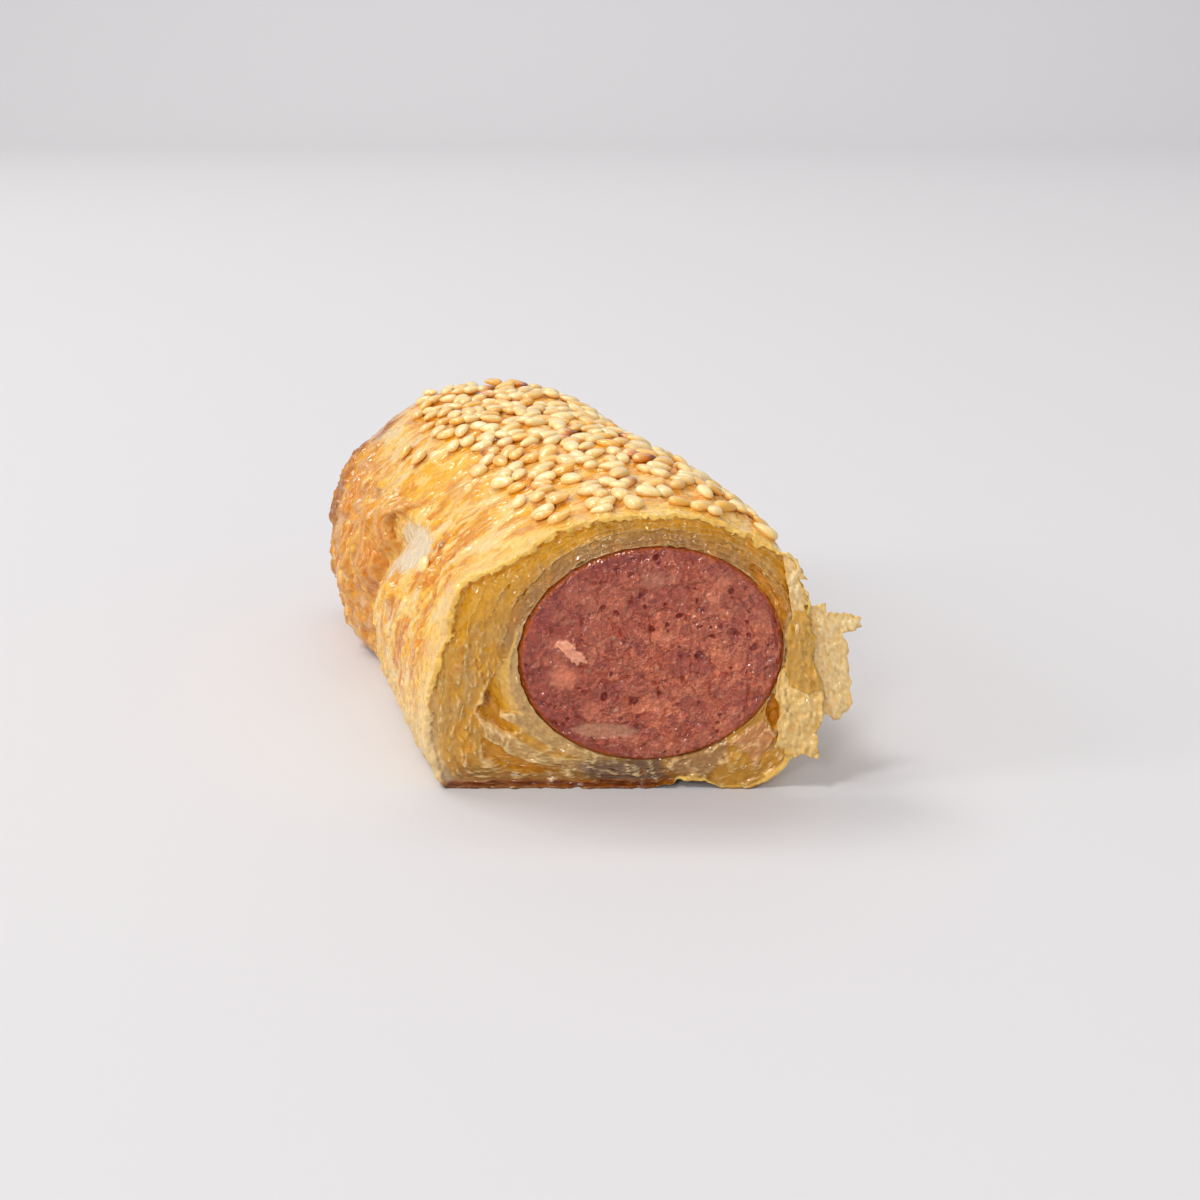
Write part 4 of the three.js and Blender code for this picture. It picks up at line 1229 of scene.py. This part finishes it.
def meat_relief(across, up):
    """Points, grain, height out of the cut, and colour, of the chopped meat."""
    at = flat_points(across, up)
    warp_a = across + 0.7 * layered_noise(at, 2.0, 2, 281)
    warp_u = up + 0.7 * layered_noise(at, 2.0, 2, 285)
    middle, border, number = cells(warp_a, warp_u, 2.1, 201)
    small_middle, _, small_number = cells(warp_a, warp_u, 0.85, 205)
    _, chunk_border, chunk = cells(warp_a, warp_u, 3.9, 207)
    coarse = layered_noise(at, 3.6, 3, 211)
    grain = layered_noise(at, 0.8, 3, 215)
    soft_grain = layered_noise(at, 1.4, 2, 216)
    pits = smooth(0.92, 0.97, small_number) * smooth(0.42, 0.12, small_middle)
    holes = smooth(0.93, 0.97, number) * smooth(0.55, 0.2, middle)
    fibres = np.maximum(
        smooth(0.12, 0.0, np.abs(layered_noise(at + 0.4 * grain[..., None], 1.1, 2, 217))),
        smooth(0.05, 0.0, np.abs(layered_noise(at + 0.3 * grain[..., None], 2.2, 3, 221))),
    )
    height = 0.18 * coarse + 0.22 * grain + 0.12 * smooth(0.25, 0, border) - 0.30 * pits - 0.55 * holes
    height = height - 0.2 * smooth(0.5, 0.0, chunk_border) + 0.10 * (small_number - 0.5)
    height = height + 0.11 * noise(at, 0.36, 219) + 0.07 * fibres
    tone = paint(
        all_over(MEAT, at),
        (MEAT_MAUVE, 0.6 * smooth(0.6, 0.75, chunk)),
        (MEAT_LIGHT, 0.35 * smooth(0.35, 0.2, chunk)),
        (MEAT_DARK, 0.12 * smooth(0.35, 0.0, chunk_border)),
        (FAT, 0.3 * smooth(0.1, 0.6, layered_noise(at, 3.0, 2, 255))),
        (MEAT_MAUVE, 0.75 * smooth(0.55, 0.8, number)),
        (MEAT_LIGHT, 0.55 * smooth(0.32, 0.1, number)),
        (MEAT_LIGHT, 0.6 * smooth(0.0, 0.5, soft_grain) * smooth(-0.4, 0.4, coarse)),
        (MEAT_LIGHT, 0.4 * smooth(0.16, 0.0, border) * smooth(-0.3, 0.4, grain)),
        (MEAT_LIGHT, 0.75 * fibres * smooth(-0.5, 0.3, coarse)),
        (MEAT_DARK, 0.35 * smooth(0.1, 0.7, layered_noise(at, 4.6, 3, 251))),
        (MEAT_DARK, 0.35 * smooth(0.05, 0.5, -soft_grain)),
        # painted shade: dark in the pits and holes
        (MEAT_DARK, 0.9 * np.clip(pits + holes, 0, 1)),
        (FAT, 0.75 * smooth(0.06, 0.02, small_number) * smooth(0.4, 0.2, small_middle)),
    )
    ragged = 0.5 * noise(at, 0.5, 275)
    for pit_across, pit_up, size, depth in MEAT_PITS:
        held = hump(np.hypot(across - pit_across, up - pit_up) / size + ragged)
        height = height - depth * held
        tone = paint(tone, (MEAT_DARK, held))
    return at, grain, height, tone


def meat_marks(at, grain, height, tone):
    """Adds the pink chunk, the lens of fat and the two paler lumps that show on the cut."""
    across, up = at[..., 0], at[..., 1]
    chunk = smooth(0.2, -0.05, edge_distance(across, up, PINK_CHUNK) + 0.22 * noise(at, 0.5, 271))
    ribbed = 0.42 + 0.14 * grain + 0.12 * np.sin(7 * (across + up))
    lens = smooth(0.35, -0.2, edge_distance(across, up, FAT_LENS))
    low_lump = hump(np.hypot((across + 4.7) / 1.9, (up - 15.4) / 1.7) ** 2)
    high_lump = hump(np.hypot((across - 6.8) / 1.5, (up - 28.6) / 1.1) ** 2)
    for held, level, flattened, colour, cover in (
        (chunk, ribbed, 1, PINK, 0.95), (lens, -0.12, 0.85, FAT, 0.7),
        (low_lump, 0.15, 0.85, MEAT_LIGHT, 0.6), (high_lump, 0.2, 0.8, FAT, 0.35),
    ):
        height, tone = mix(height, level, flattened * held), paint(tone, (colour, cover * held))
    return height, tone


def meat_rows(bearings):
    """The cut meat, from near its middle out to the rim, which rounds back to the browned casing."""
    share = np.linspace(0.004, 1, MEAT_ROWS)[:, None] ** 0.85
    x, z = sausage_polar(bearings, 0, 0, share)
    across = x / math.cos(CUT_ANGLE)
    at, grain, height, tone = meat_relief(across, z)
    # Painted shade: the meat is darker near its rim, towards the left and towards the top.
    painted_shade = 0.25 * smooth(0.85, 0.97, share) + 0.45 * smooth(8, -8, across) + 0.26 * smooth(19, 31, z)
    height, tone = meat_marks(at, grain, height, paint(tone, (MEAT_DARK, painted_shade)))
    edge = share + 0.006 * layered_noise(at, 1.2, 3, 291) + 0.018 * smooth(12, 26, z) * smooth(12, 2, across)
    # The casing's paler patches are its own, and are strengthened towards the upper right as a painted sheen.
    painted_sheen = mix(0.5, 1.0, smooth(15, 30, z) * smooth(4, 10, across))
    patchy = smooth(-0.1, 0.4, layered_noise(at, 1.0, 2, 293)) * painted_sheen
    tone = paint(
        tone,
        (CASING, smooth(CASING_FROM, 0.982, edge)),
        (CASING_LIGHT, 0.8 * smooth(CASING_FROM, 0.985, edge) * patchy),
    )
    out = MEAT_BULGE * (1 - share ** 4) + height * (1 - smooth(0.95, 1.0, share))
    out = out - RIM_ROUND * smooth(0.95, 1.01, share)
    return list(place(x, 0, z) - out[..., None] * INWARDS), list(tone)


def sausage_piece(material):
    bearings = circle(MEAT_COLUMNS, -math.pi)
    rows, tones = meat_rows(bearings)
    for y in CASING_RINGS:
        x, z = sausage_polar(bearings, y)
        patchy = smooth(-0.4, 0.6, layered_noise(stack(x, y, z), 3, 3, 297))
        rows.append(place(x, y, z))
        tones.append(paint(all_over(1.2 * np.array(CASING), rows[-1]), (CASING_LIGHT, 0.5 * patchy)))
    middle = place(SAUSAGE_AT_CUT[0], 0, SAUSAGE_AT_CUT[1]) - MEAT_BULGE * INWARDS
    tip = place(SAUSAGE_AT_END[0], ROLL_LENGTH + TIP_PROUD, SAUSAGE_AT_END[1])
    faces = capped_faces(len(rows), MEAT_COLUMNS)
    rows.append([middle, tip])
    tones.append([MEAT, CASING])
    return make_piece("sausage_meat", rows, faces, material, tones, replaced=["sausage"])


# ---------- stage, light and camera ----------

VIEW_YAW = math.radians(17)
VIEW_PITCH = math.radians(17.55)
EYE_HEIGHT = 89.6
EYE_TO_CUT = 201.7
AHEAD = np.array([math.sin(VIEW_YAW), math.cos(VIEW_YAW), 0])
ASIDE = np.array([math.cos(VIEW_YAW), -math.sin(VIEW_YAW), 0])
# In metres from the part.
BACKDROP, BACKDROP_TOP, BEND = 2.6, 4.0, 0.7
FLOOR_FRONT, FLOOR_SIDE = -3.0, 5.0


def seen_from_camera(aside, ahead, up):
    """A place in metres, to the right of, beyond and above the part as the camera sees it."""
    return tuple(aside * ASIDE + ahead * AHEAD + up * UP)


def make_stage():
    """Pale floor that curves up into a backdrop."""
    bend = np.linspace(0, math.pi / 2, 18)
    profile = [(FLOOR_FRONT, 0.0)]
    profile += [(BACKDROP - BEND + BEND * math.sin(a), BEND - BEND * math.cos(a)) for a in bend]
    profile += [(BACKDROP, BACKDROP_TOP)]
    sides = (-FLOOR_SIDE, FLOOR_SIDE)
    points = [seen_from_camera(side, reach, height) for reach, height in profile for side in sides]
    faces = [(2 * i, 2 * i + 1, 2 * i + 3, 2 * i + 2) for i in range(len(profile) - 1)]
    mesh = bpy.data.meshes.new("floor")
    mesh.from_pydata(points, [], faces)
    material, _, shader = new_material("pale floor")
    set_inputs(shader, {"Base Color": (0.66, 0.645, 0.655, 1), "Roughness": 0.7, "Specular IOR Level": 0.2})
    floor = add_object("floor", mesh, material)


def aim(thing, direction):
    thing.rotation_mode = "QUATERNION"
    thing.rotation_quaternion = Vector(direction).to_track_quat("-Z", "Y")


# Each light: name, place, target, size, power and colour.
LIGHTS = [
    ("key", (-1.2, 0.75, 2.0), (0, 0, 0.02), (0.8, 0.8), 17.0, (1.0, 0.985, 0.96)),
    ("rake", (-0.6, -0.55, 1.5), (0, 0, 0.02), (0.28, 0.28), 7.0, (1.0, 0.99, 0.97)),
    ("side", (-1.15, -0.3, 0.65), (0, 0, 0.02), (0.3, 0.4), 3.4, (1.0, 0.99, 0.97)),
    ("fill", (-0.55, -1.8, 0.95), (0, 0, 0.02), (0.3, 0.3), 8.8, (1.0, 0.99, 0.98)),
    ("backdrop light", (0, 1.3, 2.6), (0, BACKDROP, 0.6), (3.0, 0.6), 25.0, (1.0, 1.0, 1.0)),
]
SKY_COLOUR, SKY = (0.97, 0.98, 1.0, 1), 0.5


def make_lights():
    for name, position, target, (width, height), power, colour in LIGHTS:
        light = bpy.data.lights.new(name, "AREA")
        light.shape, light.size, light.size_y = "RECTANGLE", width, height
        light.energy, light.color = power, colour
        lamp = add_object(name, light)
        lamp.location = seen_from_camera(*position)
        aim(lamp, Vector(seen_from_camera(*target)) - Vector(seen_from_camera(*position)))
    world = bpy.data.worlds.new("soft light")
    world.use_nodes = True
    set_inputs(world.node_tree.nodes["Background"], {"Color": SKY_COLOUR, "Strength": SKY})
    bpy.context.scene.world = world


def make_camera():
    data = bpy.data.cameras.new("camera")
    data.lens, data.sensor_width = 50, 36
    data.clip_start, data.clip_end = 0.01, 20
    camera = add_object("camera", data)
    camera.location = (EYE_HEIGHT * UP - EYE_TO_CUT * AHEAD + SHIFT) / 1000
    aim(camera, AHEAD * math.cos(VIEW_PITCH) - UP * math.sin(VIEW_PITCH))
    bpy.context.scene.camera = camera


# ---------- build ----------

make_camera()
make_stage()
make_lights()
seed_places = seed_spots()
pastry_look = pastry_material("baked pastry", 1.3)
flake_look = pastry_material("thin flakes", 1.0)
pastry_piece(pastry_look, seed_places)
seeds_piece(seed_material(), seed_places)
for flake_number, flake_shape in enumerate(FLAKES):
    flake_piece(flake_shape, flake_look, 300 + 20 * flake_number)
sausage_piece(sausage_material())
bpy.context.scene.view_settings.view_transform = "Standard"
